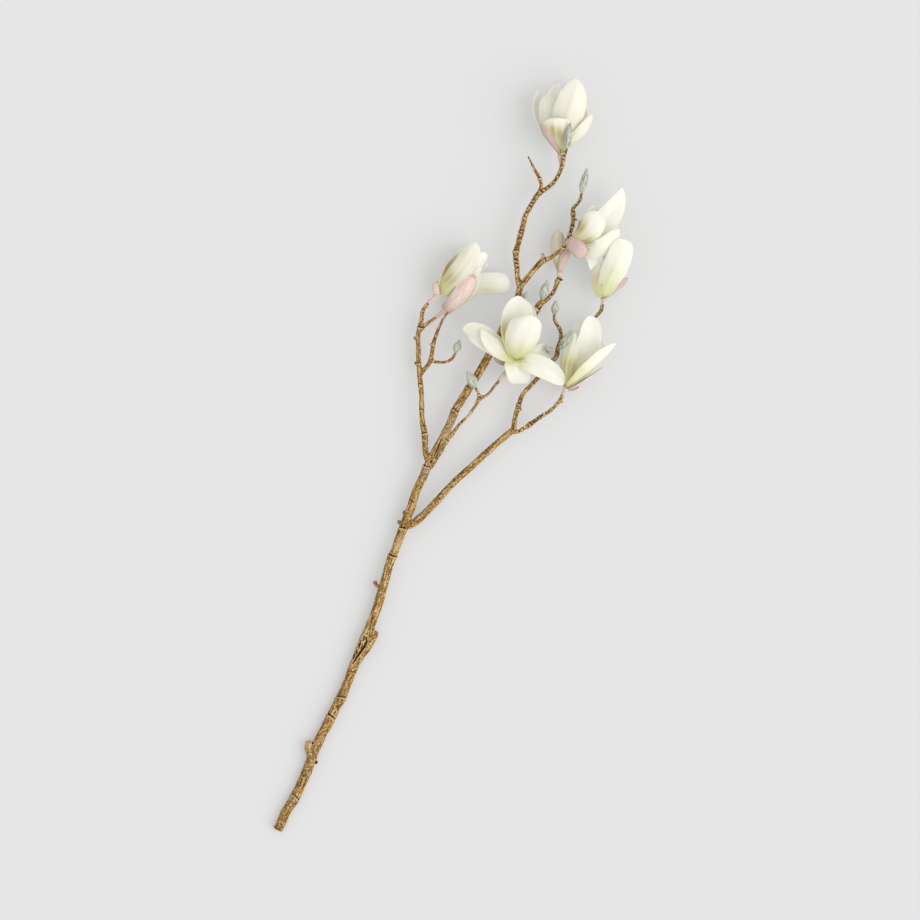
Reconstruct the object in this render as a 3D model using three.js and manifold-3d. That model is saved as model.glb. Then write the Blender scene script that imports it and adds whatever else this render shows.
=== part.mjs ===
// A cut branch of saucer magnolia, lying on a flat surface: one piece of wood with its twigs, eight pale
// blooms with their pink bracts and flower stalks, and nine furred winter buds.
//
// Drawing frame, millimetres: the cut end is near x = 0, y = 0, the blooms are toward +x +y, and z is the
// height above the surface. One turn and one shift at the end lay the branch along +Y, with the origin
// under the middle of its box.
import * as THREE from "three";
import { mergeVertices } from "three/addons/utils/BufferGeometryUtils.js";
import Module from "manifold-3d";

const wasm = await Module();
wasm.setup();

// ---- driving dimensions, mm and degrees ----
const STEM_RADIUS = 5.9; // at the cut end
const TEPAL_THICKNESS = 1.1;
const BRACT_THICKNESS = 1.2;
const STALK_RADIUS = 2.4;
const SEAT_RADIUS = 4.2; // the small heart of a bloom, that its tepals grow from
const COLLAR_RADIUS = 4.2; // of the stalk's top, just below the heart
const SHOULDER = 0.3; // share of its full width that a tepal has at its root
const POINT = 0.6; // 1 gives a tepal a sharp tip, 0.3 a broad round one
const WIDEST_AT = 0.6; // share of a tepal's length
const LAP = 9; // each tepal's turn about its own midrib, so that one edge tucks under the next
const WAVE = 0.07; // share of the half-width that an edge waves by
const WAVE_ALONG = 7; // radians of wave from root to tip
const WAVE_ACROSS = 2.5; // radians of wave from the midrib to an edge
const TEPAL_STEP = 1.9; // radians of wave from one tepal to the next, so that no two are alike
const BRACT_STEP = 2.3;
const SETTLE = 1.5; // how softly a tepal that touches the surface turns to lie along it
const BUD_BOW = 0.8; // how far a bud bows up in its middle
const CLEAR = 0.35; // gap between neighbouring pieces
const LIE_TURN = 21.7; // turns the drawing so that the branch lies along +Y
const LIE_SHIFT = [-45, -482]; // after the turn: the middle of the box comes to x = 0, y = 0

// ---- fineness of the facets ----
const THICK_LIMB = 4.5; // a limb that starts thicker than this is round with nine sides
const THIN_LIMB = 2.7; // one that starts thinner than this has six, the others seven
const STALK_SIDES = 7;
const BUD_SIDES = 8;
const LONG_BLADE = 9.5; // a tepal with a half-width over this has more stations and strips
const LONG_STATIONS = [0, 0.22, 0.45, 0.68, 0.88, 1];
const SHORT_STATIONS = [0, 0.35, 0.72, 1];

const BARK = 0x9a7648;
const TEPAL = 0xf1ead6;
const BRACT = 0xa9838a;
const BUD_FUR = 0x8f8b6c;

// ---- the wood: each limb is a list of [x, y, z, radius] along its middle ----
const LIMBS = {
  stem: [
    [-2, -3, 5.5, STEM_RADIUS], [10, 22, 5.4, 5.8], [18, 35, 5.6, 6.4], [24, 47, 5.5, 5.8],
    [36, 75, 6, 6.1], [44, 97, 6.5, 6], [55, 119, 7, 5.8], [62, 132, 7, 6.3], [67, 143, 7, 5.6],
    [74, 155, 7.5, 6.2], [80, 169, 7.5, 5.5], [89, 192, 8, 5.6], [100, 220, 8.5, 6], [106, 234, 9, 5.8],
    [114, 254, 9.5, 5.5], [122, 278, 10, 5.6], [129, 303, 11, 5.2], [132, 315, 11.5, 5.1],
    [137, 328, 11.5, 5.6], [141, 338, 12, 5], [149, 360, 12.5, 5.4], [159, 386, 13.5, 5.2],
    [167, 410, 14.5, 5], [174, 424, 15, 5.1], [179, 436, 15.5, 5.3], [188, 453, 16, 4.9], [200, 475, 17, 5],
    [206, 487, 17.5, 4.8], [212, 502, 18, 5], [225, 524, 18.5, 4.8], [240, 547, 19.5, 4.8],
    [253, 570, 20, 4.8], [271, 605, 21, 4.4], [288, 640, 22.5, 4], [292, 657, 23, 3.6],
  ],
  upperLeft: [
    [291, 650, 23, 3.5], [288, 662, 23.5, 3.2], [287, 674, 24, 3.2], [286, 685, 24.5, 3.4],
    [286, 695, 24.5, 4], [288, 702, 25, 3.3], [293, 722, 25.5, 3.3], [297, 737, 26, 3],
    [302, 747, 26.5, 2.9], [308, 757, 27, 3], [315, 766, 27, 3.2], [322, 770, 28, 2.6],
    [333, 780, 29.5, 2.3], [341, 797, 32, 2.4], [344, 810, 37, 2.1], [346, 817, 41, 2],
  ],
  dryTwig: [
    [314, 767, 27, 2.5], [316, 774, 27.5, 2], [314, 782, 28, 2.4], [307, 795, 29, 1.6], [300, 809, 30, 1],
  ],
  upperRight: [
    [291, 652, 23, 3.6], [297, 660, 24.5, 3.5], [307, 672, 27, 3.1], [314, 680, 28.5, 3.6],
    [319, 684, 29.5, 3.8], [325, 686, 31, 2.6], [332, 690, 32.5, 2.3], [342, 698, 35, 3],
    [347, 706, 35.5, 2.4], [350, 715, 36, 2.2], [353, 724, 36, 2.6], [354, 731, 36.5, 2.3],
    [354, 740, 37, 3], [354, 745, 37, 2.4], [360, 752, 38, 1.9], [363, 758, 38, 1.8], [364, 764, 38, 1.7],
  ],
  middleRight: [
    [263, 587, 20, 3.1], [278, 596, 17, 3.6], [293, 603, 17, 3.6], [304, 614, 17.5, 3.7],
    [311, 626, 17.5, 4.6], [315, 632, 17.5, 4.1], [321, 636, 17.5, 2.9], [328, 642, 17.5, 2.4],
    [334, 653, 18, 2.6], [336, 660, 18, 3], [338, 665, 18, 2.4],
  ],
  left: [
    [182, 437, 16, 3.6], [177, 455, 16, 3.5], [176, 474, 16, 4], [173, 492, 16.5, 3.1], [172, 522, 16.5, 3],
    [171, 534, 16.5, 3.2], [169, 558, 16.5, 3], [168, 582, 17, 2.8], [168, 594, 17, 2.9],
    [170, 603, 17, 3.2], [172, 612, 18, 2.6], [173, 622, 19, 2.4], [180, 633, 20, 1.9],
  ],
  leftFork: [
    [169, 599, 17, 2.6], [177, 607, 16, 2.2], [184, 612, 15.5, 2], [189, 616, 15, 1.9],
  ],
  leftSpur: [
    [170, 546, 17, 2.6], [176, 554, 17.5, 2.6], [181, 560, 18, 2.6], [184, 570, 18.5, 2.5],
    [187, 586, 19.5, 2.4], [193, 603, 20.5, 1.9], [200, 617, 21.5, 1.4], [204, 622, 22, 1],
  ],
  leftBudTwig: [
    [183, 564, 18.5, 2.2], [190, 562, 19, 1.7], [204, 563, 20.5, 1.7], [210, 567, 21.5, 1.8],
    [213, 573, 22, 1.8],
  ],
  right: [
    [153, 364, 13, 4.3], [161, 367, 13, 4.6], [170, 374, 13, 4.6], [189, 393, 13.5, 4.3],
    [206, 412, 13.5, 4], [230, 434, 13.5, 4], [254, 456, 14, 4.1], [276, 475, 14, 4], [282, 480, 14, 3.6],
    [284, 490, 14, 3], [288, 506, 14.5, 3.1], [294, 523, 14.5, 2.8], [305, 535, 15, 2.6],
    [321, 553, 16, 2.5], [330, 564, 17, 2.8], [334, 568, 18, 2.9], [336, 577, 19, 2.9],
    [340, 592, 20.5, 2.3], [339, 600, 21.5, 2.3], [332, 614, 23.5, 2], [332, 619, 24, 1.8],
  ],
  rightFork: [
    [280, 479, 14, 3.1], [287, 478, 14.5, 2.4], [295, 482, 15, 2.3], [303, 487, 15.5, 3.2],
    [311, 493, 16, 2.3], [330, 506, 17.5, 2.2], [338, 515, 18.5, 2.3], [342, 523, 19, 1.8],
  ],
  low: [
    [341, 519, 18, 1.9], [345, 531, 8, 1.8], [350, 543, 1.7, 1.8], [359, 562, 1.7, 1.8],
    [369, 586, 3.5, 1.8], [377, 606, 11, 1.9], [381, 615, 16, 2.2], [388, 624, 22, 2.2],
    [390, 632, 26, 2.1],
  ],
  middleSpur: [
    [183, 434, 15, 2], [188, 442, 17, 2.4], [201, 464, 18.5, 2.4], [209, 475, 19, 2.4],
    [216, 485, 19.5, 1.9], [228, 497, 20, 1.8], [238, 511, 21, 2], [242, 518, 21.5, 2.9],
    [249, 521, 22, 1.8], [261, 534, 22.5, 1.6], [266, 540, 23, 1.7],
  ],
  budSpur: [
    [242, 518, 21.5, 2], [240, 525, 24, 1.6], [237, 531, 27, 1.8],
  ],
  brokenFork: [
    [43, 85, 7.5, 5.4], [38, 89, 8, 4.8], [35, 96, 8.5, 4.3], [36, 104, 9, 3.6],
  ],
  wedgeStub: [
    [90, 194, 8, 4.2], [98, 207, 8.5, 5.3], [106, 220, 9, 6.2], [113, 231, 9, 5.6], [117, 238, 9, 4.1],
  ],
  cutTwig: [
    [125, 289, 11, 2.6], [119, 292, 11.5, 2.4], [115, 298, 12, 2.2],
  ],
  shortStub: [
    [284, 629, 21, 2.9], [289, 630, 19, 2.3], [294, 633, 17.5, 2],
  ],
};

// ---- the blooms: the seat is the heart of the bloom, the stalk runs from its twig to the seat ----
// A tepal or bract: the points at one third and two thirds of its midrib, its tip, half its width, the side
// that its hollow faces, and how many degrees its halves fold up toward that side at the root and at the tip.
// A last pair of numbers stands where its shoulder or its point differ from the usual ones.
const BLOOMS = {
  top_bloom: {
    seat: [340, 816, 30],
    stalk: [[341, 797, 29], [339, 806, 29]],
    tepals: [
      [[338, 828, 44], [336, 840, 56], [335, 852, 60], 17.5, [0, 0, -1], [50, 36], 0.2, 0.17],
      [[344, 842, 43], [352, 869, 53], [358, 900, 47], 19, [0, 0, -1], [52, 40], 0.3, 0.5],
      [[329, 840, 33], [324, 861, 37], [323, 883, 34], 12, [0.35, 0, -0.9], [48, 30], 0.3, 0.3],
      [[319, 837, 24], [307, 863, 22], [313, 889, 26], 10, [0.8, 0, 0.5], [50, 40]],
      [[334, 841, 22], [331, 871, 26], [337, 896, 30], 14, [0.4, 0, 0.9], [50, 30]],
      [[355, 827, 34], [368, 840, 38], [377, 858, 40], 10, [-0.5, 0.5, -0.7], [50, 40]],
      [[356, 834, 20], [364, 851, 17], [370, 866, 20], 9.5, [-0.5, 0, 0.85], [45, 30]],
      [[346, 847, 12], [351, 875, 7], [352, 899, 11], 15, [0, 0, 1], [45, 35]],
    ],
    bracts: [[[328, 825, 46], [321, 835, 54], [315, 845, 54], 4.8, [0.35, 0.1, -0.93], [40, 30]]],
  },
  upper_right_bloom: {
    seat: [353, 708, 38],
    stalk: [[346, 704, 36.5], [348, 705, 37]],
    tepals: [
      [[367, 713, 53], [376, 724, 61], [382, 741, 58], 16, [0.1, 0.1, -1], [42, 28], 0.3, 0.32],
      [[372, 714, 30], [397, 737, 34], [413, 771, 38], 15.5, [0.2, 0, 1], [45, 25], 0.3, 0.85],
      [[370, 696, 42], [388, 696, 47], [409, 720, 46], 14.5, [-0.2, 0.3, -0.93], [38, 25], 0.3, 0.45],
      [[370, 698, 36], [380, 686, 38], [379, 670, 33], 9.5, [0, 0, 1], [45, 35], 0.6, 0.3],
      [[361, 720, 30], [372, 736, 30], [379, 750, 34], 10, [0.5, -0.3, 0.8], [50, 30]],
      [[370, 708, 20], [391, 720, 14], [404, 739, 19], 15, [0, 0, 1], [45, 35]],
    ],
    bracts: [
      [[354, 701, 46], [361, 695, 49], [370, 690, 47], 10.5, [0.1, 0.1, -1], [35, 25], 0.7, 0.45],
    ],
  },
  half_open_bloom: {
    seat: [338, 674, 18],
    stalk: [[338, 665, 18], [338, 668, 18]],
    tepals: [
      [[337, 687, 23], [336, 704, 24], [336, 723, 20], 8, [0, 0, -1], [80, 60]],
      [[340, 687, 11], [339, 704, 10], [340, 719, 14], 7, [0, 0, 1], [75, 60]],
    ],
    bracts: [
      [[342, 680, 23], [345, 688, 24], [351, 698, 22], 6, [-0.3, 0, -0.95], [50, 35], 0.5, 0.4],
    ],
  },
  right_bloom: {
    seat: [391, 643, 30],
    stalk: [[390, 632, 26], [391, 637, 28]],
    tepals: [
      [[388, 656, 37], [391, 673, 40], [396, 689, 39], 14, [0.2, 0, -0.98], [44, 32], 0.55, 0.4],
      [[398, 659, 39], [408, 682, 46], [416, 708, 45], 16, [-0.1, 0, -1], [42, 28], 0.55, 0.18],
      [[395, 659, 31], [400, 679, 35], [401, 701, 36], 13, [0, 0, -1], [45, 35], 0.4],
      [[402, 661, 18], [410, 684, 12], [416, 707, 15], 13, [0, 0, 1], [45, 35]],
      [[386, 662, 23], [386, 684, 21], [392, 703, 24], 9, [0.3, 0, 1], [45, 35]],
    ],
    bracts: [[[403, 647, 26], [411, 654, 29], [420, 663, 30], 6, [-0.3, 0.4, -0.85], [50, 30]]],
  },
  centre_bloom: {
    seat: [286, 567, 32],
    stalk: [[266, 540, 23], [272, 548, 26], [279, 558, 29]],
    tepals: [
      [[290, 578, 58], [296, 597, 75], [299, 616, 79], 21, [0.1, 0.5, -0.8], [55, 42], 0.6, 0.42],
      [[285, 588, 42], [285, 614, 52], [288, 640, 60], 20.5, [0.1, -0.5, 0.85], [55, 45], 0.3, 0.5],
      [[292, 587, 36], [297, 611, 42], [299, 633, 47], 14, [-0.2, -0.5, 0.8], [50, 40]],
      [[264, 578, 38], [242, 594, 42], [222, 599, 38], 13.5, [0.2, -0.3, 0.9], [45, 25], 0.5],
      [[269, 571, 42], [255, 583, 47], [244, 601, 46], 10, [0.2, 0.1, 1], [45, 30], 0.5, 0.8],
      [[285, 557, 36], [289, 546, 28], [292, 536, 17], 14, [0, 0.3, 1], [40, 20], 0.7, 0.35],
      [[298, 562, 38], [320, 554, 37], [343, 535, 26], 13, [0, 0, 1], [35, 15], 0.5, 0.45],
      [[300, 571, 29], [314, 575, 21], [326, 579, 13], 10.5, [-0.3, -0.3, 0.9], [40, 25]],
    ],
    bracts: [[[275, 561, 28], [268, 562, 28], [259, 567, 27], 5.5, [0.3, 0.3, 0.9], [45, 30]]],
  },
  lower_right_bloom: {
    seat: [348, 535, 25],
    stalk: [[342, 523, 19], [345, 529, 22]],
    tepals: [
      [[363, 545, 40], [381, 561, 44], [405, 584, 42], 10, [-0.3, 0.6, -0.7], [50, 35]],
      [[346, 553, 32], [349, 571, 34], [357, 597, 30], 10.5, [0.5, 0, -0.85], [50, 40]],
      [[361, 558, 27], [373, 586, 28], [373, 617, 34], 15, [0, 0, 1], [40, 25], 0.3, 0.35],
      [[351, 564, 20], [356, 590, 18], [364, 612, 23], 10, [0.4, 0, 0.9], [45, 35]],
      [[367, 550, 24], [384, 568, 22], [390, 586, 24], 10, [-0.5, 0.3, 0.8], [45, 35]],
      [[359, 557, 15], [367, 576, 11], [373, 595, 13], 11, [0, 0, 1], [40, 30]],
    ],
    bracts: [
      [[360, 535, 28], [373, 543, 29], [390, 556, 31], 4.5, [-0.5, 0.85, 0], [45, 30]],
      [[351, 529, 20], [356, 530, 18], [362, 533, 16], 3.5, [-0.3, 0.6, 0.7], [45, 30]],
    ],
  },
  left_bloom: {
    seat: [196, 647, 22],
    stalk: [[180, 633, 20], [187, 639, 21]],
    tepals: [
      [[211, 660, 38], [227, 681, 43], [237, 705, 39], 13.5, [0, 0, -1], [50, 34], 0.85, 0.55],
      [[216, 661, 30], [235, 677, 33], [251, 691, 32], 10, [-0.2, 0.5, -0.8], [38, 25], 0.3, 0.25],
      [[213, 654, 28], [228, 663, 30], [245, 675, 27], 9.5, [0, 0.2, -0.97], [45, 35]],
      [[198, 663, 27], [205, 677, 29], [217, 691, 30], 8, [0.5, -0.3, 0.8], [45, 35], 0.5],
      [[212, 655, 14], [233, 669, 9], [252, 681, 11], 8, [-0.3, 0.3, 0.9], [45, 35]],
      [[206, 665, 12], [220, 686, 7], [234, 701, 9], 12, [0, 0, 1], [45, 35]],
    ],
    bracts: [[[189, 646, 25], [188, 652, 27], [191, 659, 26], 5.5, [0.7, 0.4, -0.6], [50, 40], 0.6]],
  },
  low_left_bloom: {
    seat: [205, 627, 13],
    stalk: [[189, 616, 15], [197, 622, 14]],
    tepals: [
      [[232, 653, 16], [256, 657, 19], [279, 659, 17], 13, [0, 0, -1], [32, 18], 0.1, 0.2],
      [[219, 640, 20], [233, 653, 22], [241, 672, 21], 9, [0, 0, -1], [40, 30]],
      [[221, 644, 3], [243, 656, -1], [263, 661, 2], 10, [0, 0, 1], [40, 25]],
      [[216, 635, 12], [227, 638, 11], [237, 640, 10], 3.8, [0, 0.4, 0.9], [40, 25]],
    ],
    bracts: [
      [[214, 637, 31], [224, 649, 37], [236, 665, 37], 11, [0.1, 0, -1], [44, 30], 0.6, 0.42],
    ],
  },
};

// ---- the winter buds: foot, tip and greatest radius ----
const BUDS = {
  bud_top: [[346, 817, 41], [350, 847, 60], 4.8],
  bud_upper_right: [[364, 764, 38], [371, 794, 41], 4.6],
  bud_middle: [[317, 637, 20], [324, 661, 23], 5.4],
  bud_behind_centre: [[295, 633, 18], [299, 647, 19], 4.2],
  bud_left: [[213, 573, 22], [218, 589, 23], 4.8],
  bud_right_long: [[339, 578, 23], [353, 600, 42], 4.9],
  bud_right_side: [[332, 573, 21], [320, 580, 26], 4.8],
  bud_stem: [[237, 531, 27], [227, 551, 31], 5.8],
  bud_right_upper: [[332, 619, 24], [334, 636, 26], 4.8],
};

// ---- solids ----
const Z = new THREE.Vector3(0, 0, 1);
const vector = (point) => new THREE.Vector3(point[0], point[1], point[2]);
const radians = THREE.MathUtils.degToRad;
const mix = THREE.MathUtils.lerp;

function solidOf(geometry) {
  const bare = geometry.clone();
  bare.deleteAttribute("normal");
  bare.deleteAttribute("uv");
  const merged = mergeVertices(bare, 1e-3);
  const triVerts = new Uint32Array(merged.index.array);
  return new wasm.Manifold(
    new wasm.Mesh({ numProp: 3, vertProperties: merged.attributes.position.array, triVerts }),
  );
}

function geometryOf(solid) {
  const mesh = solid.getMesh();
  const geometry = new THREE.BufferGeometry();
  geometry.setAttribute("position", new THREE.BufferAttribute(mesh.vertProperties, 3));
  geometry.setIndex(new THREE.BufferAttribute(mesh.triVerts, 1));
  geometry.computeVertexNormals();
  return geometry;
}

const fuse = (solids) => solids.reduce((whole, solid) => whole.add(solid));

// The largest body of a solid: what a cut leaves over as crumbs is dropped.
function largest(solid) {
  return solid.decompose().reduce((best, body) => (body.volume() > best.volume() ? body : best));
}

// A closed tube through rows of [x, y, z, radius]: a cylinder whose rings are moved to the rows.
function limb(rows, sides, grow = 0) {
  const last = rows.length - 1;
  const points = rows.map(vector);
  const rings = points.map((point, i) => {
    const along = points[Math.min(i + 1, last)].clone().sub(points[Math.max(i - 1, 0)]).normalize();
    const side = new THREE.Vector3().crossVectors(along, Z).normalize();
    const up = new THREE.Vector3().crossVectors(side, along);
    const centre = point.clone();
    if (i === 0) centre.addScaledVector(along, -grow);
    if (i === last) centre.addScaledVector(along, grow);
    return { centre, side, up, radius: rows[i][3] + grow };
  });
  const tube = new THREE.CylinderGeometry(1, 1, 1, sides, last);
  const position = tube.attributes.position;
  for (let k = 0; k < position.count; k++) {
    const ring = rings[Math.round((position.getY(k) + 0.5) * last)];
    const place = ring.centre.clone();
    place.addScaledVector(ring.side, -position.getZ(k) * ring.radius);
    place.addScaledVector(ring.up, position.getX(k) * ring.radius);
    position.setXYZ(k, place.x, place.y, place.z);
  }
  return solidOf(tube);
}

const sidesFor = ([[, , , radius]]) => (radius > THICK_LIMB ? 9 : radius > THIN_LIMB ? 7 : 6);
const wood = (grow) => fuse(Object.values(LIMBS).map((rows) => limb(rows, sidesFor(rows), grow)));

// A tepal's outline as a share of its full width: root, widest part, tip.
function widthAt(u, shoulder, point) {
  if (u < WIDEST_AT) return mix(shoulder, 1, Math.sin((u / WIDEST_AT) * (Math.PI / 2)));
  const rest = (u - WIDEST_AT) / (1 - WIDEST_AT);
  return Math.max(1 - rest * rest, 0.02) ** point;
}

// The cubic curve that leaves the root and passes through two points on its way to the tip.
function midribThrough(root, third, twoThirds, tip) {
  const weigh = (a, b, c, d) =>
    new THREE.Vector3()
      .addScaledVector(root, a / 6)
      .addScaledVector(third, b / 6)
      .addScaledVector(twoThirds, c / 6)
      .addScaledVector(tip, d / 6);
  return new THREE.CubicBezierCurve3(root, weigh(-5, 18, -9, 2), weigh(2, -9, 18, -5), tip);
}

// What would sink into the surface lies along it instead.
function settled(z, lowest) {
  const over = z - lowest;
  return lowest + 0.5 * (over + Math.hypot(over, SETTLE));
}

function blade(foot, rootRadius, row, thickness, phase, grow = 0) {
  const [third, twoThirds, tip, half, hollow, fold, shoulder = SHOULDER, sharpness = POINT] = row;
  const [stations, strips] = half > LONG_BLADE ? [LONG_STATIONS, 4] : [SHORT_STATIONS, 3];
  const inward = vector(hollow).normalize();
  const axis = vector(third).sub(foot).normalize();
  const outward = inward.clone().addScaledVector(axis, -inward.dot(axis)).normalize().negate();
  const root = foot.clone().addScaledVector(outward, rootRadius);
  const midrib = midribThrough(root, vector(third), vector(twoThirds), vector(tip));
  const skin = thickness / 2 + grow;
  const middle = stations.map((u) => {
    const at = midrib.getPoint(u);
    const along = midrib.getTangent(u);
    if (u === 0 || u === 1) at.addScaledVector(along, (2 * u - 1) * grow);
    const up = inward.clone().addScaledVector(along, -inward.dot(along)).normalize();
    up.applyAxisAngle(along, radians(LAP));
    const side = new THREE.Vector3().crossVectors(along, up);
    const width = half * widthAt(u, shoulder, sharpness);
    const bend = radians(mix(fold[0], fold[1], u));
    const radius = width / Math.sin(bend);
    return Array.from({ length: strips + 1 }, (_, j) => {
      const v = ((2 * j) / strips - 1) * (1 + grow / width);
      const wave = WAVE * half * v * v * Math.sin(WAVE_ALONG * u + WAVE_ACROSS * v + phase);
      const point = at.clone();
      point.addScaledVector(side, radius * Math.sin(bend * v));
      point.addScaledVector(up, radius * (1 - Math.cos(bend * v)) + wave);
      point.z = settled(point.z, skin);
      return point;
    });
  });
  return solidOf(thicken(middle, skin));
}

// Gives a grid of points a skin on both sides, split into triangles alike, and closes the rim.
function thicken(middle, skin) {
  const rows = middle.length;
  const columns = middle[0].length;
  const clamp = (value, most) => Math.min(Math.max(value, 0), most - 1);
  const point = (i, j) => middle[clamp(i, rows)][clamp(j, columns)];
  const places = [];
  for (const face of [1, -1]) {
    for (let i = 0; i < rows; i++) {
      for (let j = 0; j < columns; j++) {
        const along = point(i + 1, j).clone().sub(point(i - 1, j));
        const across = point(i, j + 1).clone().sub(point(i, j - 1));
        const normal = across.cross(along).normalize();
        const place = point(i, j).clone().addScaledVector(normal, face * skin);
        places.push(place.x, place.y, place.z);
      }
    }
  }
  const under = rows * columns;
  const index = [];
  const quad = (a, b, c, d) => index.push(a, b, c, a, c, d);
  for (let i = 0; i + 1 < rows; i++) {
    for (let j = 0; j + 1 < columns; j++) {
      const a = i * columns + j;
      const corners = [a, a + 1, a + 1 + columns, a + columns];
      quad(...corners);
      const [p, q, r, s] = corners.map((corner) => corner + under);
      index.push(p, r, q, p, s, r);
    }
  }
  const rim = [];
  for (let j = 0; j + 1 < columns; j++) rim.push(j);
  for (let i = 0; i + 1 < rows; i++) rim.push(i * columns + columns - 1);
  for (let j = columns - 1; j > 0; j--) rim.push((rows - 1) * columns + j);
  for (let i = rows - 1; i > 0; i--) rim.push(i * columns);
  rim.forEach((a, k) => {
    const b = rim[(k + 1) % rim.length];
    quad(b, a, a + under, b + under);
  });
  const geometry = new THREE.BufferGeometry();
  geometry.setAttribute("position", new THREE.Float32BufferAttribute(places, 3));
  geometry.setIndex(index);
  return geometry;
}

function heartOf(seat, radius) {
  return solidOf(new THREE.SphereGeometry(radius, 8, 6).translate(...seat));
}

function tepals(bloom, grow = 0) {
  const heart = vector(bloom.seat);
  const blades = bloom.tepals.map((row, i) =>
    blade(heart, SEAT_RADIUS * 0.5, row, TEPAL_THICKNESS, i * TEPAL_STEP, grow),
  );
  return fuse([heartOf(bloom.seat, SEAT_RADIUS + grow), ...blades]);
}

// The flower stalk widens into the collar under the bloom, where the bracts are joined on.
function bracts(bloom) {
  const stalk = bloom.stalk.map(([x, y, z]) => [x, y, z, STALK_RADIUS]);
  const heart = vector(bloom.seat);
  const below = heart.clone().sub(vector(bloom.stalk.at(-1))).normalize();
  const collar = heart.addScaledVector(below, -SEAT_RADIUS - CLEAR);
  const blades = bloom.bracts.map((row, i) =>
    blade(collar, COLLAR_RADIUS - BRACT_THICKNESS, row, BRACT_THICKNESS, i * BRACT_STEP + 1),
  );
  return fuse([limb([...stalk, [...collar.toArray(), COLLAR_RADIUS]], STALK_SIDES), ...blades]);
}

// A bud: a small furred spindle, fullest below its middle, with a blunt point.
const BUD_PROFILE = [
  [0, 0.36], [0.1, 0.62], [0.28, 0.94], [0.46, 1], [0.66, 0.8], [0.84, 0.48], [0.95, 0.24], [1, 0.06],
];
function bud([foot, tip, radius]) {
  const rows = BUD_PROFILE.map(([u, share]) => {
    const middle = vector(foot).lerp(vector(tip), u);
    return [middle.x, middle.y, middle.z + BUD_BOW * Math.sin(Math.PI * u), radius * share];
  });
  return limb(rows, BUD_SIDES);
}

// ---- the branch ----
const ground = solidOf(new THREE.BoxGeometry(1200, 2400, 200).translate(0, 0, -100));
const branch = new THREE.Group();
branch.rotation.z = radians(LIE_TURN);
branch.position.set(LIE_SHIFT[0], LIE_SHIFT[1], 0);

function place(name, solid, colour, roughness) {
  const material = new THREE.MeshStandardMaterial({ color: colour, roughness, metalness: 0 });
  const mesh = new THREE.Mesh(geometryOf(solid), material);
  mesh.name = name;
  branch.add(mesh);
}

const clearWood = wood(CLEAR);
place("branch_wood", wood(0).subtract(ground), BARK, 0.85);

const taken = [clearWood];
for (const [name, bloom] of Object.entries(BLOOMS)) {
  const flower = largest(taken.reduce((rest, other) => rest.subtract(other), tepals(bloom)));
  place(`${name}_tepals`, flower, TEPAL, 0.55);
  taken.push(tepals(bloom, CLEAR));
}
for (const [name, bloom] of Object.entries(BLOOMS)) {
  const cover = largest(taken.reduce((rest, other) => rest.subtract(other), bracts(bloom)));
  place(`${name}_bracts`, cover, BRACT, 0.8);
  taken.push(cover);
}
for (const [name, row] of Object.entries(BUDS)) {
  place(name, largest(taken.reduce((rest, other) => rest.subtract(other), bud(row))), BUD_FUR, 0.95);
}

export default branch;
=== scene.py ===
"""A cut branch of saucer magnolia, lying on a pale surface, dressed for its picture.

The wood, the tepals, the bracts and the winter buds are finer copies of the solids in the frame. They are
drawn in millimetres, with the cut end near x = 0, y = 0 and z as the height above the surface, and in_frame()
turns and shifts this drawing to where the solids lie.
"""

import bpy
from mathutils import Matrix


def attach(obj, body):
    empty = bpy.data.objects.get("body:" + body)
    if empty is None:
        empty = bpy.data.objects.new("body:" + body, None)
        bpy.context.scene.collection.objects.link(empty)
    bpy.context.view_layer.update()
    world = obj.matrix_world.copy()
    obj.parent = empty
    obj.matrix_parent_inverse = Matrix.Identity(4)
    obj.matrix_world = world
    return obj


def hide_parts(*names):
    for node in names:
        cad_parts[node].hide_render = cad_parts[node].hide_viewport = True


bl_info = {
    "name": "Saucer Magnolia Branch",
    "version": (1, 0, 0),
    "blender": (4, 5, 0),
    "location": "View3D > Sidebar > Magnolia",
    "description": "Builds a cut magnolia branch with its blooms, bracts and winter buds",
    "category": "Add Mesh",
}

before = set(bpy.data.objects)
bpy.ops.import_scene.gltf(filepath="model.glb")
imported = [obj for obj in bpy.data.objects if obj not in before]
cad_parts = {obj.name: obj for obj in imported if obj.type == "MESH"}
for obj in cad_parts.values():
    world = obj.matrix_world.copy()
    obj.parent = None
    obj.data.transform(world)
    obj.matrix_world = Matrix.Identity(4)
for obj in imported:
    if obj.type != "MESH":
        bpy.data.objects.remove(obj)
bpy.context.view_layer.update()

import math

import bpy
import numpy as np
from bpy.props import FloatProperty, FloatVectorProperty, IntProperty, PointerProperty
from bpy.types import Operator, Panel, PropertyGroup
from mathutils import Vector, kdtree, noise

MM = 0.001
# How the drawing is turned, and then shifted in millimetres, to the frame.
LIE_TURN = math.radians(21.7)
LIE_SHIFT = (-45, -482)

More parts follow.
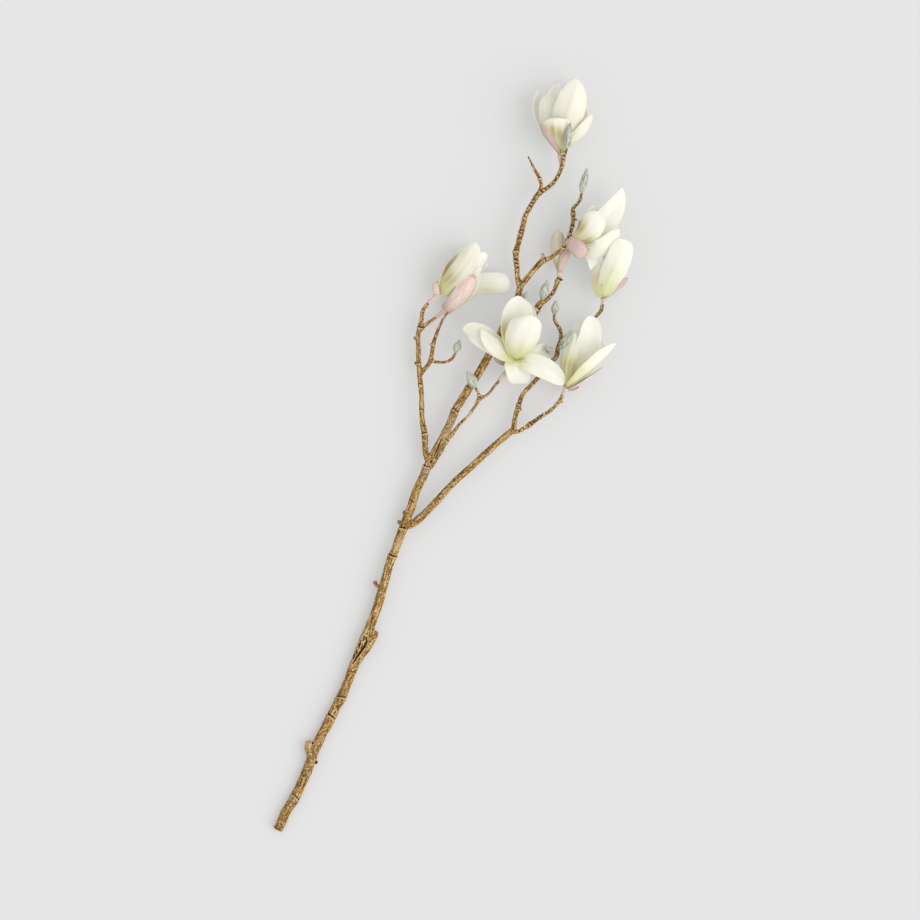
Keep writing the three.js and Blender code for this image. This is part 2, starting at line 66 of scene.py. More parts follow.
# The wood: each limb is a list of [x, y, z, radius] along its middle.
LIMBS = {
    "stem": [
        [-2, -3, 5.5, 5.9], [10, 22, 5.4, 5.8], [18, 35, 5.6, 6.4], [24, 47, 5.5, 5.8], [36, 75, 6, 6.1],
        [44, 97, 6.5, 6], [55, 119, 7, 5.8], [62, 132, 7, 6.3], [67, 143, 7, 5.6], [74, 155, 7.5, 6.2],
        [80, 169, 7.5, 5.5], [89, 192, 8, 5.6], [100, 220, 8.5, 6], [106, 234, 9, 5.8],
        [114, 254, 9.5, 5.5], [122, 278, 10, 5.6], [129, 303, 11, 5.2], [132, 315, 11.5, 5.1],
        [137, 328, 11.5, 5.6], [141, 338, 12, 5], [149, 360, 12.5, 5.4], [159, 386, 13.5, 5.2],
        [167, 410, 14.5, 5], [174, 424, 15, 5.1], [179, 436, 15.5, 5.3], [188, 453, 16, 4.9],
        [200, 475, 17, 5], [206, 487, 17.5, 4.8], [212, 502, 18, 5], [225, 524, 18.5, 4.8],
        [240, 547, 19.5, 4.8], [253, 570, 20, 4.8], [271, 605, 21, 4.4], [288, 640, 22.5, 4],
        [292, 657, 23, 3.6],
    ],
    "upper_left": [
        [291, 650, 23, 3.5], [288, 662, 23.5, 3.2], [287, 674, 24, 3.2], [286, 685, 24.5, 3.4],
        [286, 695, 24.5, 4], [288, 702, 25, 3.3], [293, 722, 25.5, 3.3], [297, 737, 26, 3],
        [302, 747, 26.5, 2.9], [308, 757, 27, 3], [315, 766, 27, 3.2], [322, 770, 28, 2.6],
        [333, 780, 29.5, 2.3], [341, 797, 32, 2.4], [344, 810, 37, 2.1], [346, 817, 41, 2],
    ],
    "dry_twig": [
        [314, 767, 27, 2.5], [316, 774, 27.5, 2], [314, 782, 28, 2.4], [307, 795, 29, 1.6], [300, 809, 30, 1],
    ],
    "upper_right": [
        [291, 652, 23, 3.6], [297, 660, 24.5, 3.5], [307, 672, 27, 3.1], [314, 680, 28.5, 3.6],
        [319, 684, 29.5, 3.8], [325, 686, 31, 2.6], [332, 690, 32.5, 2.3], [342, 698, 35, 3],
        [347, 706, 35.5, 2.4], [350, 715, 36, 2.2], [353, 724, 36, 2.6], [354, 731, 36.5, 2.3],
        [354, 740, 37, 3], [354, 745, 37, 2.4], [360, 752, 38, 1.9], [363, 758, 38, 1.8], [364, 764, 38, 1.7],
    ],
    "middle_right": [
        [263, 587, 20, 3.1], [278, 596, 17, 3.6], [293, 603, 17, 3.6], [304, 614, 17.5, 3.7],
        [311, 626, 17.5, 4.6], [315, 632, 17.5, 4.1], [321, 636, 17.5, 2.9], [328, 642, 17.5, 2.4],
        [334, 653, 18, 2.6], [336, 660, 18, 3], [338, 665, 18, 2.4],
    ],
    "left": [
        [182, 437, 16, 3.6], [177, 455, 16, 3.5], [176, 474, 16, 4], [173, 492, 16.5, 3.1],
        [172, 522, 16.5, 3], [171, 534, 16.5, 3.2], [169, 558, 16.5, 3], [168, 582, 17, 2.8],
        [168, 594, 17, 2.9], [170, 603, 17, 3.2], [172, 612, 18, 2.6], [173, 622, 19, 2.4],
        [180, 633, 20, 1.9],
    ],
    "left_fork": [
        [169, 599, 17, 2.6], [177, 607, 16, 2.2], [184, 612, 15.5, 2], [189, 616, 15, 1.9],
    ],
    "left_spur": [
        [170, 546, 17, 2.6], [176, 554, 17.5, 2.6], [181, 560, 18, 2.6], [184, 570, 18.5, 2.5],
        [187, 586, 19.5, 2.4], [193, 603, 20.5, 1.9], [200, 617, 21.5, 1.4], [204, 622, 22, 1],
    ],
    "left_bud_twig": [
        [183, 564, 18.5, 2.2], [190, 562, 19, 1.7], [204, 563, 20.5, 1.7], [210, 567, 21.5, 1.8],
        [213, 573, 22, 1.8],
    ],
    "right": [
        [153, 364, 13, 4.3], [161, 367, 13, 4.6], [170, 374, 13, 4.6], [189, 393, 13.5, 4.3],
        [206, 412, 13.5, 4], [230, 434, 13.5, 4], [254, 456, 14, 4.1], [276, 475, 14, 4], [282, 480, 14, 3.6],
        [284, 490, 14, 3], [288, 506, 14.5, 3.1], [294, 523, 14.5, 2.8], [305, 535, 15, 2.6],
        [321, 553, 16, 2.5], [330, 564, 17, 2.8], [334, 568, 18, 2.9], [336, 577, 19, 2.9],
        [340, 592, 20.5, 2.3], [339, 600, 21.5, 2.3], [332, 614, 23.5, 2], [332, 619, 24, 1.8],
    ],
    "right_fork": [
        [280, 479, 14, 3.1], [287, 478, 14.5, 2.4], [295, 482, 15, 2.3], [303, 487, 15.5, 3.2],
        [311, 493, 16, 2.3], [330, 506, 17.5, 2.2], [338, 515, 18.5, 2.3], [342, 523, 19, 1.8],
    ],
    "low": [
        [341, 519, 18, 1.9], [345, 531, 8, 1.8], [350, 543, 1.7, 1.8], [359, 562, 1.7, 1.8],
        [369, 586, 3.5, 1.8], [377, 606, 11, 1.9], [381, 615, 16, 2.2], [388, 624, 22, 2.2],
        [390, 632, 26, 2.1],
    ],
    "middle_spur": [
        [183, 434, 15, 2], [188, 442, 17, 2.4], [201, 464, 18.5, 2.4], [209, 475, 19, 2.4],
        [216, 485, 19.5, 1.9], [228, 497, 20, 1.8], [238, 511, 21, 2], [242, 518, 21.5, 2.9],
        [249, 521, 22, 1.8], [261, 534, 22.5, 1.6], [266, 540, 23, 1.7],
    ],
    "bud_spur": [
        [242, 518, 21.5, 2], [240, 525, 24, 1.6], [237, 531, 27, 1.8],
    ],
    "broken_fork": [
        [43, 85, 7.5, 5.4], [38, 89, 8, 4.8], [35, 96, 8.5, 4.3], [36, 104, 9, 3.6],
    ],
    "wedge_stub": [
        [90, 194, 8, 4.2], [98, 207, 8.5, 5.3], [106, 220, 9, 6.2], [113, 231, 9, 5.6], [117, 238, 9, 4.1],
    ],
    "cut_twig": [
        [125, 289, 11, 2.6], [119, 292, 11.5, 2.4], [115, 298, 12, 2.2],
    ],
    "short_stub": [
        [284, 629, 21, 2.9], [289, 630, 19, 2.3], [294, 633, 17.5, 2],
    ],
}

# The blooms: the seat is the heart of the bloom, and the stalk runs from its twig to the seat. A tepal or
# bract has the points at one third and two thirds of its midrib, its tip, half its width, the side that its
# hollow faces, how many degrees its halves fold up toward that side at the root and at the tip, and, where
# they differ from the usual ones, the width of its shoulder and the bluntness of its point.
BLOOMS = {
    "top_bloom": {
        "seat": [340, 816, 30],
        "stalk": [[341, 797, 29], [339, 806, 29]],
        "tepals": [
            [[338, 828, 44], [336, 840, 56], [335, 852, 60], 17.5, [0, 0, -1], [50, 36], 0.2, 0.17],
            [[344, 842, 43], [352, 869, 53], [358, 900, 47], 19, [0, 0, -1], [52, 40], 0.3, 0.5],
            [[329, 840, 33], [324, 861, 37], [323, 883, 34], 12, [0.35, 0, -0.9], [48, 30], 0.3, 0.3],
            [[319, 837, 24], [307, 863, 22], [313, 889, 26], 10, [0.8, 0, 0.5], [50, 40]],
            [[334, 841, 22], [331, 871, 26], [337, 896, 30], 14, [0.4, 0, 0.9], [50, 30]],
            [[355, 827, 34], [368, 840, 38], [377, 858, 40], 10, [-0.5, 0.5, -0.7], [50, 40]],
            [[356, 834, 20], [364, 851, 17], [370, 866, 20], 9.5, [-0.5, 0, 0.85], [45, 30]],
            [[346, 847, 12], [351, 875, 7], [352, 899, 11], 15, [0, 0, 1], [45, 35]],
        ],
        "bracts": [[[328, 825, 46], [321, 835, 54], [315, 845, 54], 4.8, [0.35, 0.1, -0.93], [40, 30]]],
    },
    "upper_right_bloom": {
        "seat": [353, 708, 38],
        "stalk": [[346, 704, 36.5], [348, 705, 37]],
        "tepals": [
            [[367, 713, 53], [376, 724, 61], [382, 741, 58], 16, [0.1, 0.1, -1], [42, 28], 0.3, 0.32],
            [[372, 714, 30], [397, 737, 34], [413, 771, 38], 15.5, [0.2, 0, 1], [45, 25], 0.3, 0.85],
            [[370, 696, 42], [388, 696, 47], [409, 720, 46], 14.5, [-0.2, 0.3, -0.93], [38, 25], 0.3, 0.45],
            [[370, 698, 36], [380, 686, 38], [379, 670, 33], 9.5, [0, 0, 1], [45, 35], 0.6, 0.3],
            [[361, 720, 30], [372, 736, 30], [379, 750, 34], 10, [0.5, -0.3, 0.8], [50, 30]],
            [[370, 708, 20], [391, 720, 14], [404, 739, 19], 15, [0, 0, 1], [45, 35]],
        ],
        "bracts": [
            [[354, 701, 46], [361, 695, 49], [370, 690, 47], 10.5, [0.1, 0.1, -1], [35, 25], 0.7, 0.45],
        ],
    },
    "half_open_bloom": {
        "seat": [338, 674, 18],
        "stalk": [[338, 665, 18], [338, 668, 18]],
        "tepals": [
            [[337, 687, 23], [336, 704, 24], [336, 723, 20], 8, [0, 0, -1], [80, 60]],
            [[340, 687, 11], [339, 704, 10], [340, 719, 14], 7, [0, 0, 1], [75, 60]],
        ],
        "bracts": [
            [[342, 680, 23], [345, 688, 24], [351, 698, 22], 6, [-0.3, 0, -0.95], [50, 35], 0.5, 0.4],
        ],
    },
    "right_bloom": {
        "seat": [391, 643, 30],
        "stalk": [[390, 632, 26], [391, 637, 28]],
        "tepals": [
            [[388, 656, 37], [391, 673, 40], [396, 689, 39], 14, [0.2, 0, -0.98], [44, 32], 0.55, 0.4],
            [[398, 659, 39], [408, 682, 46], [416, 708, 45], 16, [-0.1, 0, -1], [42, 28], 0.55, 0.18],
            [[395, 659, 31], [400, 679, 35], [401, 701, 36], 13, [0, 0, -1], [45, 35], 0.4],
            [[402, 661, 18], [410, 684, 12], [416, 707, 15], 13, [0, 0, 1], [45, 35]],
            [[386, 662, 23], [386, 684, 21], [392, 703, 24], 9, [0.3, 0, 1], [45, 35]],
        ],
        "bracts": [[[403, 647, 26], [411, 654, 29], [420, 663, 30], 6, [-0.3, 0.4, -0.85], [50, 30]]],
    },
    "centre_bloom": {
        "seat": [286, 567, 32],
        "stalk": [[266, 540, 23], [272, 548, 26], [279, 558, 29]],
        "tepals": [
            [[290, 578, 58], [296, 597, 75], [299, 616, 79], 21, [0.1, 0.5, -0.8], [55, 42], 0.6, 0.42],
            [[285, 588, 42], [285, 614, 52], [288, 640, 60], 20.5, [0.1, -0.5, 0.85], [55, 45], 0.3, 0.5],
            [[292, 587, 36], [297, 611, 42], [299, 633, 47], 14, [-0.2, -0.5, 0.8], [50, 40]],
            [[264, 578, 38], [242, 594, 42], [222, 599, 38], 13.5, [0.2, -0.3, 0.9], [45, 25], 0.5],
            [[269, 571, 42], [255, 583, 47], [244, 601, 46], 10, [0.2, 0.1, 1], [45, 30], 0.5, 0.8],
            [[285, 557, 36], [289, 546, 28], [292, 536, 17], 14, [0, 0.3, 1], [40, 20], 0.7, 0.35],
            [[298, 562, 38], [320, 554, 37], [343, 535, 26], 13, [0, 0, 1], [35, 15], 0.5, 0.45],
            [[300, 571, 29], [314, 575, 21], [326, 579, 13], 10.5, [-0.3, -0.3, 0.9], [40, 25]],
        ],
        "bracts": [[[275, 561, 28], [268, 562, 28], [259, 567, 27], 5.5, [0.3, 0.3, 0.9], [45, 30]]],
    },
    "lower_right_bloom": {
        "seat": [348, 535, 25],
        "stalk": [[342, 523, 19], [345, 529, 22]],
        "tepals": [
            [[363, 545, 40], [381, 561, 44], [405, 584, 42], 10, [-0.3, 0.6, -0.7], [50, 35]],
            [[346, 553, 32], [349, 571, 34], [357, 597, 30], 10.5, [0.5, 0, -0.85], [50, 40]],
            [[361, 558, 27], [373, 586, 28], [373, 617, 34], 15, [0, 0, 1], [40, 25], 0.3, 0.35],
            [[351, 564, 20], [356, 590, 18], [364, 612, 23], 10, [0.4, 0, 0.9], [45, 35]],
            [[367, 550, 24], [384, 568, 22], [390, 586, 24], 10, [-0.5, 0.3, 0.8], [45, 35]],
            [[359, 557, 15], [367, 576, 11], [373, 595, 13], 11, [0, 0, 1], [40, 30]],
        ],
        "bracts": [
            [[360, 535, 28], [373, 543, 29], [390, 556, 31], 4.5, [-0.5, 0.85, 0], [45, 30]],
            [[351, 529, 20], [356, 530, 18], [362, 533, 16], 3.5, [-0.3, 0.6, 0.7], [45, 30]],
        ],
    },
    "left_bloom": {
        "seat": [196, 647, 22],
        "stalk": [[180, 633, 20], [187, 639, 21]],
        "tepals": [
            [[211, 660, 38], [227, 681, 43], [237, 705, 39], 13.5, [0, 0, -1], [50, 34], 0.85, 0.55],
            [[216, 661, 30], [235, 677, 33], [251, 691, 32], 10, [-0.2, 0.5, -0.8], [38, 25], 0.3, 0.25],
            [[213, 654, 28], [228, 663, 30], [245, 675, 27], 9.5, [0, 0.2, -0.97], [45, 35]],
            [[198, 663, 27], [205, 677, 29], [217, 691, 30], 8, [0.5, -0.3, 0.8], [45, 35], 0.5],
            [[212, 655, 14], [233, 669, 9], [252, 681, 11], 8, [-0.3, 0.3, 0.9], [45, 35]],
            [[206, 665, 12], [220, 686, 7], [234, 701, 9], 12, [0, 0, 1], [45, 35]],
        ],
        "bracts": [[[189, 646, 25], [188, 652, 27], [191, 659, 26], 5.5, [0.7, 0.4, -0.6], [50, 40], 0.6]],
    },
    "low_left_bloom": {
        "seat": [205, 627, 13],
        "stalk": [[189, 616, 15], [197, 622, 14]],
        "tepals": [
            [[232, 653, 16], [256, 657, 19], [279, 659, 17], 13, [0, 0, -1], [32, 18], 0.1, 0.2],
            [[219, 640, 20], [233, 653, 22], [241, 672, 21], 9, [0, 0, -1], [40, 30]],
            [[221, 644, 3], [243, 656, -1], [263, 661, 2], 10, [0, 0, 1], [40, 25]],
            [[216, 635, 12], [227, 638, 11], [237, 640, 10], 3.8, [0, 0.4, 0.9], [40, 25]],
        ],
        "bracts": [
            [[214, 637, 31], [224, 649, 37], [236, 665, 37], 11, [0.1, 0, -1], [44, 30], 0.6, 0.42],
        ],
    },
}

# The winter buds: foot, tip and greatest radius.
BUDS = {
    "bud_top": [[346, 817, 41], [350, 847, 60], 4.8],
    "bud_upper_right": [[364, 764, 38], [371, 794, 41], 4.6],
    "bud_middle": [[317, 637, 20], [324, 661, 23], 5.4],
    "bud_behind_centre": [[295, 633, 18], [299, 647, 19], 4.2],
    "bud_left": [[213, 573, 22], [218, 589, 23], 4.8],
    "bud_right_long": [[339, 578, 23], [353, 600, 42], 4.9],
    "bud_right_side": [[332, 573, 21], [320, 580, 26], 4.8],
    "bud_stem": [[237, 531, 27], [227, 551, 31], 5.8],
    "bud_right_upper": [[332, 619, 24], [334, 636, 26], 4.8],
}


# Tints of the tepals, seen from above: x, y, reach in millimetres, the tone, its share, and which tepals.
# Olive is partly the tepals' own golden base and partly painted shade in folds; shade is painted shade.
BLUSHES = {
    "top_bloom": [
        (333, 834, 8, "olive", 0.85, 0), (340, 824, 9, "green", 0.6, 0), (368, 856, 12, "olive", 0.1, 6),
        (316, 866, 20, "shade", 0.08, 2), (312, 858, 22, "shade", 0.05, 3), (330, 868, 20, "shade", 0.05, 4),
        (322, 840, 8, "shade", 0.7, 0), (330, 838, 6, "olive", 0.8, 0), (350, 862, 30, "shade", 0.2),
    ],
    "upper_right_bloom": [
        (360, 724, 9, "olive", 1, 0), (371, 703, 8, "olive", 0.9, 0), (374, 738, 8, "olive", 0.3, 4),
    ],
    "half_open_bloom": [(334, 710, 18, "olive", 0.4), (336, 678, 10, "olive", 0.5)],
    "right_bloom": [
        (386, 660, 10, "olive", 0.6, 0), (394, 664, 10, "green", 0.8, 0), (396, 652, 12, "green", 0.7),
        (400, 668, 10, "green", 0.5, 1),
    ],
    "centre_bloom": [
        (271, 592, 12, "green", 0.8, 1), (272, 600, 12, "olive", 0.4, 1), (292, 572, 10, "green", 0.8, 0),
        (228, 598, 16, "shade", 0.2, 3), (276, 574, 12, "green", 0.5, 3),
    ],
    "lower_right_bloom": [
        (345, 562, 14, "green", 0.7, 1), (352, 556, 10, "olive", 0.5, 1), (348, 545, 9, "green", 0.9),
        (364, 546, 12, "green", 0.6, 0),
    ],
    "left_bloom": [
        (206, 662, 10, "olive", 0.6, 0), (200, 648, 9, "green", 0.6, 0), (222, 682, 24, "shade", 0.4, 0),
        (206, 672, 20, "olive", 0.7, 3), (230, 670, 7, "olive", 0.3, 2),
    ],
    "low_left_bloom": [(252, 648, 9, "green", 0.35)],
}
# How grey-mauve the bracts of a bloom are, where it isn't 0.
DUSKY = {
    "top_bloom": 0.5, "upper_right_bloom": 0.25, "half_open_bloom": 0.3, "right_bloom": 0.4,
    "centre_bloom": 0.2,
}

# The marks of the wood, seen from above, in millimetres. A fissure is a run of x, y and half its width.
FISSURES = [
    [(105, 231, 0.5), (106, 225, 1.1), (103, 219, 1.5), (98, 212, 1.4), (93, 205, 1.0), (89, 198, 0.4)],
    [(102, 232, 0.5), (103, 229, 0.9), (101, 226, 0.5)], [(99, 226, 0.5), (97, 221, 1.3), (96, 217, 0.5)],
    [(94, 215, 0.5), (94, 212, 0.9), (92, 209, 0.4)], [(101, 222, 0.4), (99, 217, 0.6)],
    [(90, 211, 0.4), (91, 207, 0.8), (89, 204, 0.3)], [(39, 104, 0.8), (41, 102, 0.8)],
    [(211, 475, 0.9), (213, 473, 0.9)], [(183, 441, 0.9), (185, 444, 0.7)], [(45, 80, 1.2), (44, 77, 0.8)],
    [(196, 469, 0.5), (192, 459, 0.8), (187, 449, 0.3)], [(67, 138, 0.7), (68, 141, 0.5)],
]
# The pale bare wood round the split, a run like a fissure.
SCAR_FACE = [(104, 236, 2), (101, 225, 5), (97, 213, 5), (92, 202, 3), (88, 194, 1)]
# Knobs where twigs and buds once stood: x, y, z and radius.
NUBS = [
    (145, 369, 14, 2.6), (151, 381, 14, 2.4), (164, 591, 17, 1.9), (183, 583, 20, 1.6), (165, 561, 17, 1.9),
    (185, 567, 19, 1.7), (318, 690, 31, 2.2), (341, 661, 18, 1.6), (291, 505, 15, 1.8), (341, 514, 18, 1.6),
    (358, 732, 37, 1.2), (37, 66, 8, 2.6), (34, 59, 8, 2.0), (45, 79, 8, 2.0), (322, 770, 29, 2.2),
    (288, 702, 26, 2.6), (354, 745, 38, 2.2), (242, 519, 23, 2.4), (303, 488, 17, 2.4), (334, 568, 19, 2.2),
]
# Stretches of another tone: x, y, reach, and how grey-mauve, olive, pale and dim it is there.
FILMS = [
    (147, 341, 13, 0.5, 0, 0.7, 0), (180, 430, 9, 1, 0, 0, 0), (206, 490, 10, 0.7, 0, 0.3, 0),
    (176, 468, 16, 0, 1, 0, 0), (17, 36, 6, 0.8, 0, 0, 0), (34, 60, 7, 0, 0.8, 0, 0),
    (8, 18, 14, 0, 0.35, 0, 0), (37, 100, 10, 0, 0, 0.6, 0), (204, 472, 14, 0.5, 0, 0.6, 0),
    (270, 470, 20, 0, 0, 0.4, 0), (194, 455, 7, 0, 0, 0, 0.7), (190, 448, 6, 0, 0, 0, 0.7),
    (360, 750, 26, 0, 0, 0, 0.8), (352, 715, 18, 0, 0, 0, 0.6), (338, 592, 20, 0, 0, 0, 0.6),
    (328, 722, 12, 0, 0, 0, 0.5),
]
# The limbs whose thin stretches have close leaf scars, and those that end in a cut or broken face.
RINGED = ("upper_left", "upper_right", "middle_right", "right_fork", "low", "bud_spur")
BROKEN = ("broken_fork", "wedge_stub", "cut_twig", "short_stub")


# ---- colours, frames and selections ----
def linear(code):
    """An sRGB hex colour as linear red, green, blue and alpha."""
    parts = [int(code[i : i + 2], 16) / 255 for i in (1, 3, 5)]
    return tuple(p / 12.92 if p <= 0.04045 else ((p + 0.055) / 1.055) ** 2.4 for p in parts) + (1.0,)


def in_frame(points):
    """Points of the drawing, in millimetres, as metres in the frame."""
    p = np.asarray(points, float)
    c, s = math.cos(LIE_TURN), math.sin(LIE_TURN)
    x = p[..., 0] * c - p[..., 1] * s + LIE_SHIFT[0]
    y = p[..., 0] * s + p[..., 1] * c + LIE_SHIFT[1]
    return np.stack([x, y, p[..., 2]], -1) * MM


def in_drawing(points):
    """Points of the frame, in metres, as millimetres in the drawing."""
    p = np.asarray(points, float) / MM
    c, s = math.cos(LIE_TURN), math.sin(LIE_TURN)
    x, y = p[..., 0] - LIE_SHIFT[0], p[..., 1] - LIE_SHIFT[1]
    return np.stack([x * c + y * s, y * c - x * s, p[..., 2]], -1)


def only(obj):
    """Selects one object and makes it active, in object mode."""
    if bpy.context.object and bpy.context.object.mode != "OBJECT":
        bpy.ops.object.mode_set(mode="OBJECT")
    bpy.ops.object.select_all(action="DESELECT")
    obj.select_set(True)
    bpy.context.view_layer.objects.active = obj


def join(objects, name):
    """Joins objects into the first one, and names it and its mesh."""
    only(objects[0])
    for obj in objects:
        obj.select_set(True)
    bpy.ops.object.join()
    joined = bpy.context.object
    joined.name = joined.data.name = name
    return joined


def mesh_piece(name, points, faces):
    """A new object made of points and faces."""
    mesh = bpy.data.meshes.new(name)
    mesh.from_pydata(points, [], faces)
    piece = bpy.data.objects.new(name, mesh)
    bpy.context.collection.objects.link(piece)
    return piece


def ball_piece(name, segments, rings):
    """A ball of radius 1. Its faces come in the same order at every run, so fur on it grows alike."""
    turn, rise = np.meshgrid(ROUND * np.arange(segments) / segments, math.pi * np.arange(1, rings) / rings)
    circles = np.stack([np.cos(turn) * np.sin(rise), np.sin(turn) * np.sin(rise), -np.cos(rise)], -1)
    points = [*circles.reshape(-1, 3).tolist(), (0, 0, -1), (0, 0, 1)]
    low, high, last = len(points) - 2, len(points) - 1, (rings - 2) * segments
    faces = []
    for a in range(segments):
        b = (a + 1) % segments
        faces += [(b, a, low), (last + a, last + b, high)]
        faces += [(r + a, r + b, r + segments + b, r + segments + a) for r in range(0, last, segments)]
    return mesh_piece(name, points, faces)


def modify(obj, kind, **settings):
    """Adds a modifier and applies it."""
    only(obj)
    modifier = obj.modifiers.new(kind.title(), kind)
    for name, value in settings.items():
        setattr(modifier, name, value)
    bpy.ops.object.modifier_apply(modifier=modifier.name)


def smooth(obj):
    """Shades a piece smooth."""
    only(obj)
    bpy.ops.object.shade_smooth()


def read(items, field, width):
    """One field of a mesh's vertices or values: an array with a row of that width for each."""
    rows = np.empty((len(items), width))
    items.foreach_get(field, rows.ravel())
    return rows


def places(obj):
    """The vertices of a mesh, in the object's own frame."""
    return read(obj.data.vertices, "co", 3)


def move_to(obj, points):
    """Moves the vertices of a mesh to the given points."""
    obj.data.vertices.foreach_set("co", np.ascontiguousarray(points, float).ravel())
    obj.data.update()


def keep(obj, name, values):
    """Stores one number or one vector for each vertex, for the material to read."""
    values = np.asarray(values, float)
    kind, field = ("FLOAT_VECTOR", "vector") if values.ndim == 2 else ("FLOAT", "value")
    layer = obj.data.attributes.get(name) or obj.data.attributes.new(name, kind, "POINT")
    layer.data.foreach_set(field, np.ascontiguousarray(values).ravel())


def kept(obj, name):
    """The numbers that keep() stored."""
    return read(obj.data.attributes[name].data, "value", 1)[:, 0]


def dress(obj, material, node):
    """Gives a finished piece its material and the node that it replaces."""
    obj.data.materials.clear()
    obj.data.materials.append(material)
    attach(obj, "root")
    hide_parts(node)


# ---- numbers ----
ROUND = 2 * math.pi


def unit(vectors):
    """Vectors brought to length 1."""
    return vectors / np.maximum(np.linalg.norm(vectors, axis=-1, keepdims=True), 1e-12)


def ease(values, low, high):
    """0 below low, 1 above high, and a smooth step between."""
    t = np.clip((np.asarray(values, float) - low) / (high - low), 0, 1)
    return t * t * (3 - 2 * t)


def bell(values, width):
    """1 at 0, fading on both sides to about a third at the width."""
    return np.exp(-((values / width) ** 2))


def nearness(points, x, y, reach):
    """1 at a place seen from above, fading to about a third at its reach."""
    return np.exp(-(((points[:, 0] - x) ** 2 + (points[:, 1] - y) ** 2) / reach**2))


def grain_noise(points, salt=0.0):
    """Smooth noise from -1 to 1 at each point."""
    return np.array([noise.noise(Vector((x + salt, y - salt, z + salt))) for x, y, z in points])


def distance_to_line(points, line):
    """How far each point is from a run of [x, y, half width] seen from above, and the half width there."""
    best, half = np.full(len(points), np.inf), np.zeros(len(points))
    flat = points[:, :2]
    for a, b in zip(line, line[1:]):
        start, way = np.array(a[:2], float), np.array(b[:2], float) - a[:2]
        share = np.clip(((flat - start) @ way) / (way @ way), 0, 1)
        gap = np.linalg.norm(flat - start - share[:, None] * way, axis=1)
        half = np.where(gap < best, a[2] + (b[2] - a[2]) * share, half)
        best = np.minimum(best, gap)
    return best, half


def smooth_rows(rows, step):
    """A smooth run of rows about one step apart through the given ones, and how far along it each one is.

    Each number follows its own Hermite curve, except the fourth, the radius, which goes straight.
    """
    rows = np.array(rows, float)
    gaps = np.linalg.norm(np.diff(rows[:, :3], axis=0), axis=1)
    reach = np.concatenate([[0], np.cumsum(gaps)])
    slopes = np.gradient(rows, reach, axis=0)
    at = np.linspace(0, reach[-1], max(int(reach[-1] / step) + 1, 4))
    k = np.clip(np.searchsorted(reach, at, side="right") - 1, 0, len(gaps) - 1)
    h = gaps[k][:, None]
    t = ((at - reach[k]) / gaps[k])[:, None]
    run = (
        (2 * t**3 - 3 * t**2 + 1) * rows[k] + (t**3 - 2 * t**2 + t) * h * slopes[k]
        + (3 * t**2 - 2 * t**3) * rows[k + 1] + (t**3 - t**2) * h * slopes[k + 1]
    )
    run[:, 3] = (1 - t[:, 0]) * rows[k, 3] + t[:, 0] * rows[k + 1, 3]
    return at, run


def limb_piece(run, name, roundness):
    """A closed tube along a run of [x, y, z, radius] rows."""
    bpy.ops.curve.primitive_nurbs_path_add(location=(0, 0, 0))
    path = bpy.context.object
    path.name = name
    path.data.splines.clear()
    spline = path.data.splines.new("POLY")
    spline.points.add(len(run) - 1)
    for point, spot, radius in zip(spline.points, in_frame(run[:, :3]), run[:, 3]):
        point.co = (*spot, 1)
        point.radius = radius
    path.data.dimensions = "3D"
    path.data.bevel_depth = MM
    path.data.bevel_resolution = roundness
    path.data.use_fill_caps = True
    only(path)
    bpy.ops.object.convert(target="MESH")
    return bpy.context.object


# ---- materials ----
# The patterns follow stored millimetres, so a noise's scale says how many of its spots lie in one.
def add(tree, kind, inputs=(), out=0, **settings):
    """Adds a node with its settings, sets or links its inputs, and returns one of its outputs."""
    made = tree.nodes.new(kind)
    for name, value in settings.items():
        setattr(made, name, value)
    for socket, value in inputs:
        if isinstance(value, bpy.types.NodeSocket):
            tree.links.new(value, made.inputs[socket])
        else:
            made.inputs[socket].default_value = value
    return made.outputs[out]


def new_material(name, **constants):
    """A material with one Principled shader, whose unchanging values stand on its own sockets."""
    material = bpy.data.materials.new(name)
    material.use_nodes = True
    tree = material.node_tree
    shader = tree.nodes["Principled BSDF"]
    for socket, value in constants.items():
        shader.inputs[socket.replace("_", " ")].default_value = value
    return material, tree, shader


def lay_over(tree, colour, layers, step="LINEAR"):
    """Lays tones over a colour, one after the other.

    Each layer says where it lies, by a socket or a stored attribute's name, then from which value to which it
    grows, its strongest share, and its tone.
    """
    for where, low, high, most, tone in layers:
        if isinstance(where, str):
            where = add(tree, "ShaderNodeAttribute", out="Fac", attribute_name=where)
        grows = [(0, where), (1, low), (2, high), (4, most)]
        share = add(tree, "ShaderNodeMapRange", grows, interpolation_type=step)
        colour = add(tree, "ShaderNodeMix", [(0, share), (6, colour), (7, tone)], out=2, data_type="RGBA")
    return colour


def finish_skin(tree, shader, colour, bumps):
    """Gives a shader its colour and its bumps, each with its pattern, strength and depth in millimetres."""
    tree.links.new(colour, shader.inputs["Base Color"])
    under = []
    for height, strength, depth in bumps:
        relief = [("Height", height), ("Strength", strength), ("Distance", depth * MM)]
        normal = add(tree, "ShaderNodeBump", relief + under)
        under = [("Normal", normal)]
    tree.links.new(normal, shader.inputs["Normal"])


